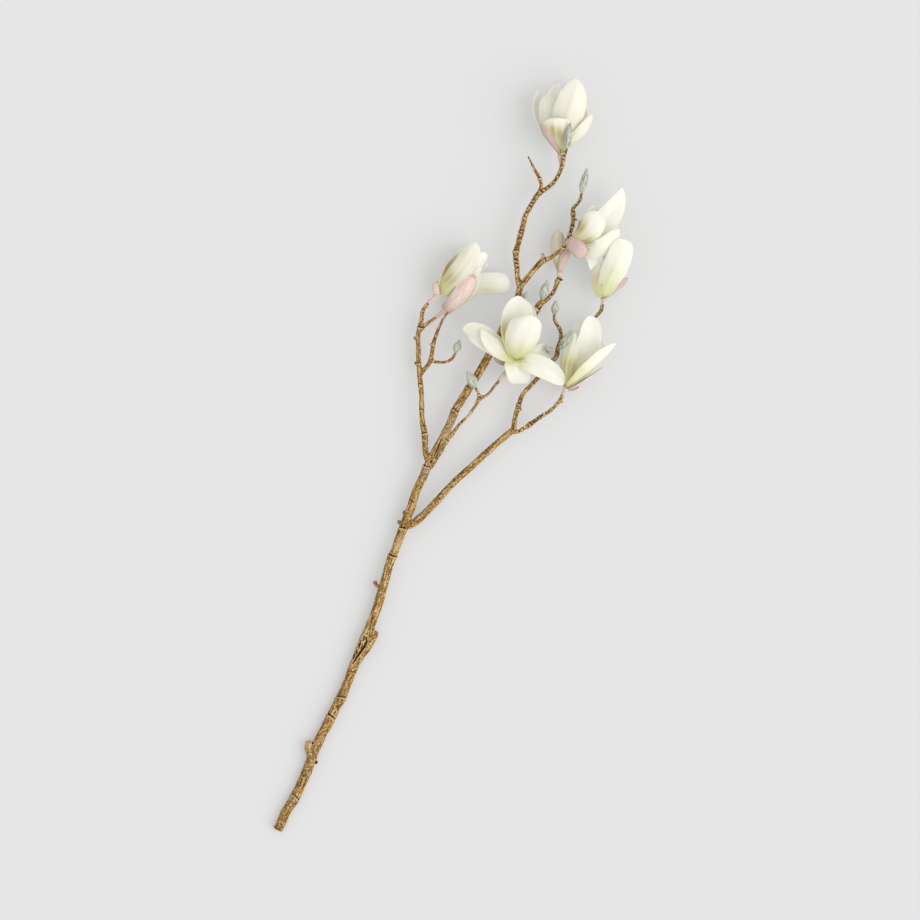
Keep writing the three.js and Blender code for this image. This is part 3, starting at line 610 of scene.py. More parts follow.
def bark_material(look):
    """Young magnolia bark: thin, tan and gritty. It gives the wood its mottled gold and brown."""
    material, tree, shader = new_material(
        "Thin gritty magnolia bark", Roughness=0.85, IOR=1.45, Specular_IOR_Level=0.15
    )
    grain = add(tree, "ShaderNodeAttribute", out="Vector", attribute_name="grain")
    # Streaks about 2 mm wide and seven times as long, grit that is drawn about 1.2 mm wide, so coarse that it
    # shows, and patches of about 17 mm.
    along = add(tree, "ShaderNodeMapping", [("Vector", grain), ("Scale", (0.14, 1, 1))])
    streaks = [("Vector", along), ("Scale", 1 / 2), ("Detail", 4), ("Roughness", 0.6)]
    mottle = add(tree, "ShaderNodeTexNoise", streaks)
    specks = [("Vector", grain), ("Scale", 1 / 1.25), ("Detail", 3), ("Roughness", 0.75)]
    grit = add(tree, "ShaderNodeTexNoise", specks)
    patch = add(tree, "ShaderNodeTexNoise", [("Vector", grain), ("Scale", 0.06), ("Detail", 2)])
    colour = lay_over(tree, look.tan, [
        (mottle, 0.52, 0.4, 0.85, look.dark), (mottle, 0.52, 0.62, 0.8, look.light),
        (patch, 0.5, 0.7, 0.5, look.gold), ("mauve", 0, 1, 0.6, look.film), ("olive", 0, 1, 0.55, look.olive),
        ("pale", 0, 1, 0.85, look.bare), ("dim", 0, 1, 0.6, look.dark), ("ring", 0.1, 0.8, 0.6, look.light),
        ("pore", 0, 1, 0.5, look.light), (grit, 0.54, 0.62, 0.7, look.light),
        (grit, 0.5, 0.42, 0.6, look.dark), (grit, 0.43, 0.36, 1, look.fleck),
        # The grooves beside the leaf scars and the fissures are laid dark: painted shade in these recesses.
        ("groove", 0, 0.8, 0.9, look.fleck), ("fissure", 0, 0.6, 1, look.fissure),
    ], step="SMOOTHSTEP")
    # A cut face shows its year rings, about 0.6 mm apart: the sine turns 10.5 radians in a millimetre.
    across = add(tree, "ShaderNodeMapping", [("Vector", grain), ("Scale", (0, 1, 1))])
    radius = add(tree, "ShaderNodeVectorMath", [(0, across)], out="Value", operation="LENGTH")
    turns = add(tree, "ShaderNodeMath", [(0, radius), (1, 10.5)], operation="MULTIPLY")
    year = add(tree, "ShaderNodeMath", [(0, turns)], operation="SINE")
    face = lay_over(tree, look.bare, [(year, -1, 1, 0.5, look.tan)])
    colour = lay_over(tree, colour, [("cut", 0, 1, 1, face)])
    finish_skin(tree, shader, colour, [(grit, 1, 1.2), (mottle, 0.9, 1.6)])
    return material


def tepal_material(look):
    """Fresh magnolia tepal: thick and waxy. It gives a satin cream with faint veins and golden folds."""
    material, tree, shader = new_material("Waxy magnolia tepal", Roughness=0.55, IOR=1.4)
    vein = add(tree, "ShaderNodeAttribute", out="Vector", attribute_name="vein")
    # Veins stand about 1.3 mm apart and run the length of the tepal, under clouds of about 17 mm.
    along = add(tree, "ShaderNodeMapping", [("Vector", vein), ("Scale", (0.035, 0.75, 1))])
    threads = [("Vector", along), ("Scale", 1), ("Detail", 3), ("Roughness", 0.6)]
    lines = add(tree, "ShaderNodeTexNoise", threads)
    cloud = add(tree, "ShaderNodeTexNoise", [("Vector", vein), ("Scale", 0.06), ("Detail", 2)])
    # Beige is painted shade; olive is partly the tepals' golden base and partly painted shade in folds.
    colour = lay_over(tree, look.cream, [
        (cloud, 0.35, 0.65, 0.5, look.ivory), ("shade", 0, 1, 1, look.beige), ("green", 0, 1, 1, look.green),
        ("olive", 0, 1, 1, look.olive), (lines, 0.52, 0.66, 0.25, look.vein),
    ])
    finish_skin(tree, shader, colour, [(lines, 0.25, 0.4)])
    # A tepal is thin enough for light to come through it, so its shaded side stays pale.
    through = add(tree, "ShaderNodeBsdfTranslucent", [("Color", colour)])
    flesh = add(tree, "ShaderNodeMixShader", [(0, 0.5), (1, shader.outputs[0]), (2, through)])
    tree.links.new(flesh, tree.nodes["Material Output"].inputs["Surface"])
    return material


def bract_material(look):
    """Magnolia bract: leathery, with short felt. It gives a dusty pink with darker specks and edges."""
    material, tree, shader = new_material(
        "Felted magnolia bract", Roughness=0.85, IOR=1.4, Sheen_Weight=0.5, Sheen_Roughness=0.5,
        Sheen_Tint=linear("#fff6f3"),
    )
    vein = add(tree, "ShaderNodeAttribute", out="Vector", attribute_name="vein")
    # Specks about 1.2 mm across, and veins about 1.7 mm apart.
    spots = [("Vector", vein), ("Scale", 1 / 1.25), ("Detail", 4), ("Roughness", 0.7)]
    specks = add(tree, "ShaderNodeTexNoise", spots)
    along = add(tree, "ShaderNodeMapping", [("Vector", vein), ("Scale", (0.06, 0.6, 1))])
    lines = add(tree, "ShaderNodeTexNoise", [("Vector", along), ("Scale", 1), ("Detail", 2)])
    colour = lay_over(tree, look.pink, [
        (lines, 0.6, 0.42, 1, look.rose), (specks, 0.46, 0.34, 0.75, look.mauve),
        ("edge", 0, 1, 1, look.mauve), ("foot", 0, 1, 1, look.brown), ("hair", 0, 1, 1, look.felt),
    ])
    finish_skin(tree, shader, colour, [(specks, 0.4, 0.6)])
    return material


def bud_material(look):
    """Winter bud: two scales under dense silky fur. It gives a soft grey-green with paler hair tips."""
    material, tree, shader = new_material(
        "Silky winter bud fur", Roughness=0.9, IOR=1.45, Sheen_Weight=0.4, Sheen_Roughness=0.4
    )
    vein = add(tree, "ShaderNodeAttribute", out="Vector", attribute_name="vein")
    # Tufts about 1.8 mm wide, drawn out three times along the bud.
    along = add(tree, "ShaderNodeMapping", [("Vector", vein), ("Scale", (0.3, 1, 1))])
    locks = [("Vector", along), ("Scale", 0.55), ("Detail", 4), ("Roughness", 0.65)]
    tufts = add(tree, "ShaderNodeTexNoise", locks)
    colour = lay_over(tree, look.fur, [
        (tufts, 0.56, 0.4, 1, look.moss), ("groove", 0, 1, 1, look.moss), ("hair", 0, 1, 1, look.tips),
    ])
    finish_skin(tree, shader, colour, [(tufts, 0.6, 0.7)])
    return material


def paper_material(look):
    """Matte seamless paper, lit a little from below. It gives an even pale ground with faint soft shadows."""
    return new_material(
        "Matte seamless paper", Roughness=1, Specular_IOR_Level=0.1, Base_Color=look.paper,
        Emission_Color=linear("#ffffff"), Emission_Strength=look.backlight,
    )[0]


# ---- what a user may change ----
def colour_of(code, name, description):
    """A colour setting."""
    return FloatVectorProperty(
        name=name, description=description, subtype="COLOR", size=4, min=0, max=1, default=linear(code)
    )


def length_of(millimetres, name, description):
    """A length setting."""
    return FloatProperty(name=name, description=description, default=millimetres * MM, min=0, unit="LENGTH")


def angle_of(radians, name, description):
    """An angle setting."""
    return FloatProperty(name=name, description=description, default=radians, min=0, unit="ROTATION")


def amount_of(default, name, description, most=100):
    """A plain number setting."""
    return FloatProperty(name=name, description=description, default=default, min=0, soft_max=most)


def count_of(default, least, name, description):
    """A whole number setting."""
    return IntProperty(name=name, description=description, default=default, min=least)


class BarkLook(PropertyGroup):
    """Sizes and colours of the wood."""
    cell: length_of(0.75, "Cell", "Edge of the mesh's cells")
    furrow: length_of(0.42, "Furrow", "Depth of the long furrows in the bark")
    ring: length_of(0.95, "Ring", "Height of the leaf scars that ring the twigs")
    pore: length_of(0.36, "Pore", "Height of the corky pores")
    split: length_of(0.6, "Split", "Depth of the fissures in the old scar")
    tan: colour_of("#a0722f", "Tan", "Most of the bark")
    dark: colour_of("#3f2300", "Dark", "The darker mottling")
    light: colour_of("#e8cc97", "Light", "Raised pores and rubbed spots")
    # Fleck also lays painted shade in the grooves beside the rings.
    fleck: colour_of("#2a1500", "Fleck", "Dark specks and the grooves beside the rings")
    gold: colour_of("#ab7a26", "Gold", "Warm stretches")
    film: colour_of("#8d7b70", "Film", "Grey-mauve film on some stretches")
    olive: colour_of("#8a732c", "Olive", "Olive stretches")
    bare: colour_of("#dcbb86", "Bare wood", "Cut faces and bare wood")
    # Fissure is painted shade inside the splits and holes.
    fissure: colour_of("#46290a", "Fissure", "Inside of splits and holes")


class TepalLook(PropertyGroup):
    """Sizes and colours of the tepals."""
    thickness: length_of(0.9, "Thickness", "Thickness in the middle of a tepal")
    rib: length_of(0.09, "Rib", "Height of the fine ribs")
    keel: length_of(0.5, "Keel", "Depth of the groove along the midrib")
    stations: count_of(26, 8, "Stations", "Rows of faces along a tepal")
    strips: count_of(16, 6, "Strips", "Rows of faces across a tepal")
    cream: colour_of("#f8f8f3", "Cream", "Most of a tepal")
    ivory: colour_of("#f6f5ea", "Ivory", "Slightly warmer clouds")
    beige: colour_of("#dfd4b8", "Beige", "Shaded inner faces")
    green: colour_of("#e2e392", "Yellow-green", "Toward the root")
    # Olive is partly the tepals' own golden base and partly painted shade in their folds.
    olive: colour_of("#b99f42", "Olive", "Golden-olive stretches")
    vein: colour_of("#e8e3cd", "Vein", "The fine veins")


class BractLook(PropertyGroup):
    """Sizes and colours of the bracts and flower stalks."""
    thickness: length_of(1.1, "Thickness", "Thickness in the middle of a bract")
    rib: length_of(0.05, "Rib", "Height of the fine ribs")
    keel: length_of(0.5, "Keel", "Depth of the groove along the midrib")
    stations: count_of(18, 8, "Stations", "Rows of faces along a bract")
    strips: count_of(12, 6, "Strips", "Rows of faces across a bract")
    hair: length_of(0.9, "Hair", "Length of the hairs")
    hairs: count_of(700, 0, "Hairs", "Hairs on the bracts and stalk of a bloom")
    pink: colour_of("#dfcbc0", "Pink", "Most of a bract")
    rose: colour_of("#d2b8af", "Rose", "Between the veins")
    mauve: colour_of("#7f6a66", "Mauve", "Specks and edges")
    brown: colour_of("#8a6a52", "Brown", "Toward the foot")
    felt: colour_of("#efe2da", "Felt", "Tips of the hairs")


class BudLook(PropertyGroup):
    """Sizes and colours of the winter buds."""
    hair: length_of(1.8, "Hair", "Length of the fur")
    hairs: count_of(1100, 0, "Hairs", "Hairs on one bud")
    fur: colour_of("#c2c3b5", "Fur", "Most of the fur")
    moss: colour_of("#7d7d6c", "Moss", "Between the tufts")
    tips: colour_of("#e9eae0", "Tips", "Tips of the hairs")


class StageLook(PropertyGroup):
    """Light, ground and camera."""
    camera_height: length_of(4140, "Camera height", "Above the surface")
    lens: amount_of(133.9, "Lens", "Focal length in millimetres", most=500)
    key_strength: amount_of(1.45, "Key light", "Strength of the soft light")
    key_spread: angle_of(0.9, "Key spread", "Softness of its shadows")
    key_height: angle_of(0.8, "Key height", "How high it stands")
    sky: amount_of(1, "Fill", "Strength of the even light from all round")
    slant: amount_of(0.15, "Slant", "How much brighter the fill is from the right", most=1)
    paper: colour_of("#a4a4a4", "Paper", "The ground")
    backlight: amount_of(0.301, "Backlight", "Light that comes up through the ground")


# ---- the wood: lengths in millimetres ----
RUN_STEP = 1.0
THIN_TWIG = 3.4  # thinner stretches are young, with strong leaf scars
THICKENING = 0.15  # by how much a limb swells where one of its own rows is a leaf scar
SCAR_SPACE = 3.5  # the least way between two leaf scars
YOUNG_GAPS, OLD_GAPS = (4, 7.5), (12, 34)  # the way from one to the next
YOUNG_SHARES, OLD_SHARES = (0.3, 0.9), (0.1, 0.5)  # how strong they are
SCAR_LEAN = 0.35  # how far one may slope across its limb
LIP_WIDTH, GROOVE_WIDTH, GROOVE_GAP = 1.1, 0.8, 2.1
CUT_DEPTH, STUB_CUT_DEPTH, SPLINTER_DEPTH = 0.8, 1.2, 5
FACES_END, FACES_UP = 0.75, 0.15  # how squarely a face looks along its limb, or up
NEAR_GUIDES = 6


def limb_rings(name, run, at, random):
    """Where leaf scars ring a limb, and how strongly: at each thickening, and between them by chance."""
    if name == "wedge_stub":
        return []
    rows = LIMBS[name]
    steps = np.cumsum([0] + [math.dist(a[:3], b[:3]) for a, b in zip(rows, rows[1:])])
    rings = [
        (steps[i], 1.0) for i in range(1, len(rows) - 1)
        if rows[i][3] > max(rows[i - 1][3], rows[i + 1][3]) + THICKENING
    ]
    spot = random.uniform(2, 8)
    while spot < at[-1] - 2:
        young = np.interp(spot, at, run[:, 3]) < THIN_TWIG
        if all(abs(spot - place) > SCAR_SPACE for place, _ in rings):
            rings.append((spot, random.uniform(*(YOUNG_SHARES if young else OLD_SHARES))))
        spot += random.uniform(*(YOUNG_GAPS if young and name in RINGED else OLD_GAPS))
    return rings


def ring_marks(runs, owner, along, around, above):
    """The leaf scars on each vertex: a lip, and a groove just past it."""
    random = np.random.default_rng(11)
    lip, groove = np.zeros(len(along)), np.zeros(len(along))
    for k, (name, (at, run)) in enumerate(runs.items()):
        mine = owner == k
        for spot, share in limb_rings(name, run, at, random):
            lean = random.uniform(-SCAR_LEAN, SCAR_LEAN, 2)
            gap = along[mine] - spot + lean[0] * around[mine] + lean[1] * above[mine]
            lip[mine] = np.maximum(lip[mine], share * bell(gap, LIP_WIDTH))
            groove[mine] = np.maximum(groove[mine], share * bell(gap - GROOVE_GAP, GROOVE_WIDTH))
    return lip, groove


def split_marks(points, facing_up):
    """The splits on each vertex: the fissures, the rim along them and the bare wood round the great one."""
    ragged = 0.35 * grain_noise(points / 1.9, 40)
    fissure, rim = np.zeros(len(points)), np.zeros(len(points))
    for line in FISSURES:
        gap, half = distance_to_line(points, line)
        edge = gap + ragged - half
        fissure = np.maximum(fissure, 1 - ease(edge, -0.4, 0.4))
        rim = np.maximum(rim, bell(edge - 0.9, 0.6))
    gap, half = distance_to_line(points, SCAR_FACE)
    bare = 1 - ease(gap + 2 * ragged - half, -1.5, 1)
    return fissure * facing_up, rim * facing_up, bare * facing_up


def film_marks(points):
    """The films on each vertex: how grey-mauve, olive, pale and dim it is."""
    films = np.zeros((len(points), 4))
    for x, y, reach, *shares in FILMS:
        films = np.maximum(films, nearness(points, x, y, reach)[:, None] * np.array(shares))
    return films.T


def limb_guides(runs):
    """The middles of all limbs, point by point.

    The columns are place, axis, side, up, radius, way along the limb, which limb it is, and its length.
    """
    guides = []
    for k, (at, run) in enumerate(runs.values()):
        axis = unit(np.gradient(run[:, :3], axis=0))
        side = unit(np.cross(axis, (0, 0, 1)))
        limb, length = np.full(len(at), k), np.full(len(at), at[-1])
        guides.append((run[:, :3], axis, side, np.cross(side, axis), run[:, 3], at, limb, length))
    return [np.concatenate(column) for column in zip(*guides)]


def own_guides(points, spots, radii):
    """For each point, which of the limbs' middle points it belongs to: the one whose skin lies closest."""
    tree = kdtree.KDTree(len(spots))
    for i, spot in enumerate(spots):
        tree.insert(spot, i)
    tree.balance()
    return np.array([
        min(tree.find_n(point, NEAR_GUIDES), key=lambda hit: hit[2] - radii[hit[1]])[1] for point in points
    ])


def grown_wood(runs, cell):
    """The limbs and their knobs, grown together into one closed skin."""
    pieces = [limb_piece(run, name, 6) for name, (_, run) in runs.items()]
    for x, y, z, size in NUBS:
        bpy.ops.mesh.primitive_ico_sphere_add(subdivisions=3, radius=size * MM, location=in_frame([x, y, z]))
        bpy.ops.object.transform_apply(location=True)
        pieces.append(bpy.context.object)
    wood = join(pieces, "magnolia_branch_wood")
    modify(wood, "REMESH", mode="VOXEL", voxel_size=cell, use_smooth_shade=True)
    modify(wood, "SMOOTH", factor=0.5, iterations=2)
    return wood


class MAGNOLIA_OT_wood(Operator):
    """Build the branch: its limbs grown together, with furrows, pores, leaf scars and old breaks"""
    bl_idname = "magnolia.wood"
    bl_label = "Branch Wood"

    def execute(self, context):
        look = context.scene.magnolia_bark
        names = list(LIMBS)
        runs = {name: smooth_rows(rows, RUN_STEP) for name, rows in LIMBS.items()}
        wood = grown_wood(runs, look.cell)

        # Every vertex finds the limb that it lies on, how far along it is, and on which side.
        points = in_drawing(places(wood))
        out = unit(in_drawing(places(wood) + read(wood.data.vertices, "normal", 3)) - points)
        guides = limb_guides(runs)
        own = own_guides(points, guides[0], guides[4])
        middle, axis, side, up, radius, way, owner, length = (column[own] for column in guides)
        offset = points - middle
        around, above = (offset * side).sum(1), (offset * up).sum(1)
        along = way + (offset * axis).sum(1)
        grain = np.stack([along + 400 * owner, around, above], 1)

        lip, groove = ring_marks(runs, owner, along, around, above)
        fissure, rim, bare = split_marks(points, out[:, 2] > FACES_UP)
        lip, groove = lip * (1 - bare), groove * (1 - bare)
        mauve, olive, pale, dim = film_marks(points)
        # Corky pores: one in each cell of a loose grid, a little longer along the twig than round it.
        pore = np.array([ease(-noise.voronoi(Vector(c))[0][0], -0.42, -0.2) for c in grain / (5, 3.6, 3.6)])
        # Furrows about 2.4 mm wide and four times as long, finer ones between them, and lumps of 5 to 9 mm.
        furrow = grain_noise(grain / (11, 2.4, 2.4)) + 0.5 * grain_noise(grain / (4, 1.3, 1.3), 31)
        lumps = grain_noise(grain / (9, 5, 5), 77)
        fibres = grain_noise(grain / (5, 1.6, 1.6), 5)

        # The cut end and the stubs are flat and bare, and the broken fork ends in splinters.
        tip = length - along
        stub_end = np.isin(owner, [names.index(name) for name in BROKEN]) & (tip < STUB_CUT_DEPTH)
        facing_end = np.abs((out * axis).sum(1)) > FACES_END
        cut = 1.0 * (((along < CUT_DEPTH) & (owner == 0) | stub_end) & facing_end)
        torn = (owner == names.index("broken_fork")) * ease(-tip, -SPLINTER_DEPTH, 0)
        splinters = 3 * torn * grain_noise(np.stack([around, above, 0 * above], 1) / 1.9, 9)

        thick = np.clip(radius / 5, 0.35, 1)
        relief = look.furrow * (furrow * (0.5 + 0.5 * thick) + 0.7 * lumps * thick)
        relief += look.ring * (lip - 0.8 * groove) * (0.75 + 0.25 * thick) + 0.8 * look.pore * pore
        relief += look.split * (0.3 * rim + 0.3 * bare * fibres - fissure)
        shaped = points + out * (relief / MM * (1 - cut))[:, None] + axis * splinters[:, None]
        shaped[:, 2] = np.maximum(shaped[:, 2], 0)
        move_to(wood, in_frame(shaped))
        for name, values in {
            "grain": grain, "ring": lip * 0.9, "groove": groove, "pore": pore, "fissure": fissure, "cut": cut,
            "mauve": mauve, "olive": olive, "pale": np.maximum.reduce([pale, bare * 0.6, rim]), "dim": dim,
        }.items():
            keep(wood, name, values)
        dress(wood, bark_material(look), "branch_wood")
        return {"FINISHED"}


# ---- tepals and bracts: lengths in millimetres ----
SEAT_RADIUS = 4.2
COLLAR_RADIUS = 4.2
STALK_RADIUS = 2.4
CLEAR = 0.35  # between the heart and the stalk's collar
TEPAL_ROOT, BRACT_ROOT = SEAT_RADIUS / 2, COLLAR_RADIUS - 1.2  # how far from the middle a blade is rooted
TEPAL_STEP, BRACT_STEP = 1.9, 2.3  # how the waves of one blade differ from the next one's
USUAL_ENDS = (0.3, 0.6)  # the shoulder's width and the bluntness of the point
WIDEST_AT = 0.6
LAP = math.radians(9)  # a blade is rolled round its midrib, so that it laps over its neighbour
SETTLE = 1.5  # how softly a blade comes to rest on the surface
RIB_GAP, KEEL_WIDTH = 3.0, 1.1
# The waves of a blade and how far its edges roll back, as shares of half its width.
WAVE, RUFFLE, SWELL, NICKS, ROLL = 0.07, 0.03, 0.035, 0.025, 10 / 13
ROLL_FROM = 0.72


def midrib(foot, root_radius, row, u):
    """The middle line of a blade at each u, and there the way across it and toward its hollow side."""
    foot, third, two_thirds, tip = (np.array(p, float) for p in (foot, *row[:3]))
    inward = unit(np.array(row[4], float))
    axis = unit(third - foot)
    outward = -unit(inward - axis * (inward @ axis))
    root = foot + outward * root_radius
    # These handles lead the curve through its points at one third and two thirds.
    near = (-5 * root + 18 * third - 9 * two_thirds + 2 * tip) / 6
    far = (2 * root - 9 * third + 18 * two_thirds - 5 * tip) / 6
    t = u[:, None]
    at = (1 - t) ** 3 * root + 3 * (1 - t) ** 2 * t * near + 3 * (1 - t) * t**2 * far + t**3 * tip
    along = unit((1 - t) ** 2 * (near - root) + 2 * (1 - t) * t * (far - near) + t**2 * (tip - far))
    up = unit(inward - along * (along @ inward)[:, None])
    up = up * math.cos(LAP) + np.cross(along, up) * math.sin(LAP)
    return at, np.cross(along, up), up


def blade_points(foot, root_radius, row, skin, phase, u, v, ribs, keel):
    """Points of a blade in millimetres: u runs from its root to its tip, v from one edge to the other."""
    at, side, up = midrib(foot, root_radius, row, u)
    half, fold = row[3], row[5]
    shoulder, bluntness = (*row[6:], *USUAL_ENDS[len(row) - 6 :])
    middle = np.sin(math.pi * u)
    rest = (u - WIDEST_AT) / (1 - WIDEST_AT)
    lower = shoulder + (1 - shoulder) * np.sin(np.clip(u / WIDEST_AT, 0, 1) * math.pi / 2)
    share = np.where(u < WIDEST_AT, lower, np.maximum(1 - rest**2, 0.006) ** bluntness)
    share = share * (1 + NICKS * np.abs(v) ** 3 * np.sin(17 * u + 3 * phase) * middle)
    bend = np.radians(fold[0] + (fold[1] - fold[0]) * u)
    radius = half * share / np.sin(bend)
    rise = radius * (1 - np.cos(bend * v))
    rise += WAVE * half * v**2 * np.sin(7 * u + 2.5 * v + phase)
    rise += RUFFLE * half * v**2 * np.sin(15 * u - 4 * v + 2 * phase)
    rise += SWELL * half * np.sin(7 * v + 2 * u + 2 * phase) * middle
    rise -= ROLL * half * np.clip(np.abs(v) - ROLL_FROM, 0, 1) ** 2 * middle
    rise += ribs * np.sin(2 * math.pi * v * half * share / RIB_GAP) * (1 - u)
    rise -= keel * bell(v * half, KEEL_WIDTH) * (1 - u) ** 0.5
    points = at + side * (radius * np.sin(bend * v))[:, None] + up * rise[:, None]
    over = points[:, 2] - skin
    points[:, 2] = skin + 0.5 * (over + np.hypot(over, SETTLE))
    return points


def blade_piece(name, foot, root_radius, row, phase, look):
    """A blade: a grid bent to its form, with a skin on both sides that thins toward the edge."""
    bpy.ops.mesh.primitive_grid_add(
        x_subdivisions=look.stations, y_subdivisions=look.strips, size=2, location=(0, 0, 0)
    )
    blade = bpy.context.object
    blade.name = name
    flat = places(blade)
    v = flat[:, 1].copy()
    u = (flat[:, 0] + 1) / 2
    u = u + 0.08 * np.sin(math.pi * u) ** 2  # rows stand closer toward the tip
    sizes = (look.thickness / MM / 2, phase, u, v, look.rib / MM, look.keel / MM)
    move_to(blade, in_frame(blade_points(foot, root_radius, row, *sizes)))
    keep(blade, "u", u)
    keep(blade, "v", v)
    group = blade.vertex_groups.new(name="Flesh")
    for i, weight in enumerate((1 - 0.55 * np.abs(v) ** 3) * (1 - 0.45 * ease(u, 0.7, 1))):
        group.add([i], float(weight), "REPLACE")
    flesh = {"vertex_group": "Flesh", "thickness_vertex_group": 0.3}
    modify(blade, "SOLIDIFY", thickness=look.thickness, offset=0, **flesh)
    blade.vertex_groups.clear()
    modify(blade, "SUBSURF", levels=1, render_levels=1)
    smooth(blade)
    return blade


def heart_piece(seat):
    """The heart of a bloom, knobbed with the carpels."""
    heart = ball_piece("heart", 28, 18)
    ball = places(heart)
    angle, height = np.arctan2(ball[:, 1], ball[:, 0]), np.arcsin(np.clip(ball[:, 2], -1, 1))
    knobs = 0.12 * np.sin(7 * angle + 5 * height) * np.sin(9 * height) * np.cos(height)
    move_to(heart, in_frame(np.array(seat) + ball * (SEAT_RADIUS * (0.8 + knobs))[:, None]))
    keep(heart, "green", np.full(len(ball), 0.9))
    keep(heart, "vein", in_drawing(places(heart)))
    smooth(heart)
    return heart


class MAGNOLIA_OT_tepals(Operator):
    """Build the cream tepals and the heart of every bloom"""
    bl_idname = "magnolia.tepals"
    bl_label = "Tepals"

    def execute(self, context):
        look = context.scene.magnolia_tepal
        material = tepal_material(look)
        for bloom, parts in BLOOMS.items():
            pieces = []
            for i, row in enumerate(parts["tepals"]):
                blade = blade_piece(f"{bloom}_{i}", parts["seat"], TEPAL_ROOT, row, i * TEPAL_STEP, look)
                u, v = kept(blade, "u"), kept(blade, "v")
                length = math.dist(parts["seat"], row[2])
                keep(blade, "vein", np.stack([u * length + 90 * i, v * row[3], 0 * u + 13 * i], 1))
                spots = in_drawing(places(blade))
                # The shade tone is painted shade toward each tepal's edges; olive is partly its golden base
                # and partly painted shade.
                tones = {"green": 0.75 * bell(u, 0.3), "olive": 0 * u, "shade": 0.12 * v**2}
                for x, y, reach, tone, share, *only_these in BLUSHES[bloom]:
                    if not only_these or i in only_these:
                        streaks = 0.75 + 0.25 * np.cos(13 * v + 3 * i + 1.5 * u)
                        near = share * nearness(spots, x, y, reach) * streaks
                        tones[tone] = np.maximum(tones[tone], near)
                for tone, values in tones.items():
                    keep(blade, tone, values)
                pieces.append(blade)
            pieces.append(heart_piece(parts["seat"]))
            flower = join(pieces, f"{bloom}_cream_tepals")
            dress(flower, material, f"{bloom}_tepals")
        return {"FINISHED"}


HAIR_ROOT = 0.12 * MM
SCATTER = 0.22
HAIR_LENGTHS = (0.55, 1.15)


def add_fur(obj, count, length, width, lean, comb, seed):
    """Short hairs all over a piece: three-sided points, rooted in the skin, that lean the way of the comb."""
    random = np.random.default_rng(seed)
    mesh = obj.data
    mesh.calc_loop_triangles()
    corners = np.empty(len(mesh.loop_triangles) * 3, int)
    mesh.loop_triangles.foreach_get("vertices", corners)
    a, b, c = places(obj)[corners].reshape(-1, 3, 3).transpose(1, 0, 2)
    cross = np.cross(b - a, c - a)
    area = np.linalg.norm(cross, axis=1)
    pick = random.choice(len(area), count, p=area / area.sum())
    s, t = random.random(count), random.random(count)
    s, t = np.where(s + t > 1, 1 - s, s), np.where(s + t > 1, 1 - t, t)
    root = a[pick] + (b - a)[pick] * s[:, None] + (c - a)[pick] * t[:, None]
    normal = unit(cross[pick])
    down = comb(root)
    down = unit(down - normal * (down * normal).sum(1)[:, None])
    way = unit(normal * (1 - lean) + down * lean + random.normal(0, SCATTER, (count, 3)))
    tall = length * random.uniform(*HAIR_LENGTHS, count)[:, None]
    one = unit(np.cross(way, normal + random.normal(0, 0.01, (count, 3)))) * width
    two = np.cross(way, one)
    # The foot of a hair is a triangle just under the skin.
    foot = root - normal * HAIR_ROOT
    hair = [foot + one, foot - 0.5 * one + 0.87 * two, foot - 0.5 * one - 0.87 * two, root + way * tall]
    points = np.stack(hair, 1).reshape(-1, 3)
    sides = np.array([[0, 1, 3], [1, 2, 3], [2, 0, 3]])
    faces = (4 * np.arange(count)[:, None, None] + sides).reshape(-1, 3)
    fur = mesh_piece(obj.name + "_hairs", points.tolist(), faces.tolist())
    keep(fur, "hair", np.tile([0, 0, 0, 1.0], count))
    keep(fur, "vein", in_drawing(points))
    return join([obj, fur], obj.name)


def stalk_piece(name, spots, collar):
    """A flower stalk: it swells to the collar that the bracts grow from, with scars of fallen bracts."""
    rows = [[*spot, STALK_RADIUS] for spot in spots] + [[*collar, COLLAR_RADIUS]]
    at, run = smooth_rows(rows, 0.5)
    share = at / at[-1]
    run[:, 3] = STALK_RADIUS + (COLLAR_RADIUS - STALK_RADIUS) * ease(share, 0.45, 1)
    run[:, 3] += 0.28 * bell((at % 4.5) - 2.2, 0.6) * (share < 0.9)
    stalk = limb_piece(run, name, 5)
    smooth(stalk)
    points = in_drawing(places(stalk))
    keep(stalk, "vein", points)
    keep(stalk, "foot", np.full(len(points), 0.1))
    keep(stalk, "edge", np.full(len(points), 0.12))
    return stalk


class MAGNOLIA_OT_bracts(Operator):
    """Build the felted pink bracts and the flower stalk of every bloom"""
    bl_idname = "magnolia.bracts"
    bl_label = "Bracts and Stalks"

    def execute(self, context):
        look = context.scene.magnolia_bract
        material = bract_material(look)
        for k, (bloom, parts) in enumerate(BLOOMS.items()):
            seat = np.array(parts["seat"], float)
            below = unit(seat - np.array(parts["stalk"][-1], float))
            collar = seat - below * (SEAT_RADIUS + CLEAR)
            pieces = [stalk_piece(f"{bloom}_stalk", parts["stalk"], collar)]
            for i, row in enumerate(parts["bracts"]):
                blade = blade_piece(f"{bloom}_bract_{i}", collar, BRACT_ROOT, row, i * BRACT_STEP + 1, look)
                u, v = kept(blade, "u"), kept(blade, "v")
                length = math.dist(collar, row[2])
                keep(blade, "vein", np.stack([u * length + 70 * i, v * row[3], 9 * i + 0 * u], 1))
                dusk = DUSKY.get(bloom, 0)
                rim = np.maximum(ease(np.abs(v), 0.8, 1), 0.8 * ease(u, 0.93, 1))
                keep(blade, "edge", dusk + (0.75 - dusk) * rim)
                keep(blade, "foot", 0.45 * ease(-u, -0.22, 0))
                pieces.append(blade)
            piece = join(pieces, f"{bloom}_pink_bracts")
            tip = in_frame(parts["bracts"][0][2])
            piece = add_fur(piece, look.hairs, look.hair, 0.07 * MM, 0.75, lambda root: tip - root, 100 + k)
            dress(piece, material, f"{bloom}_bracts")
        return {"FINISHED"}


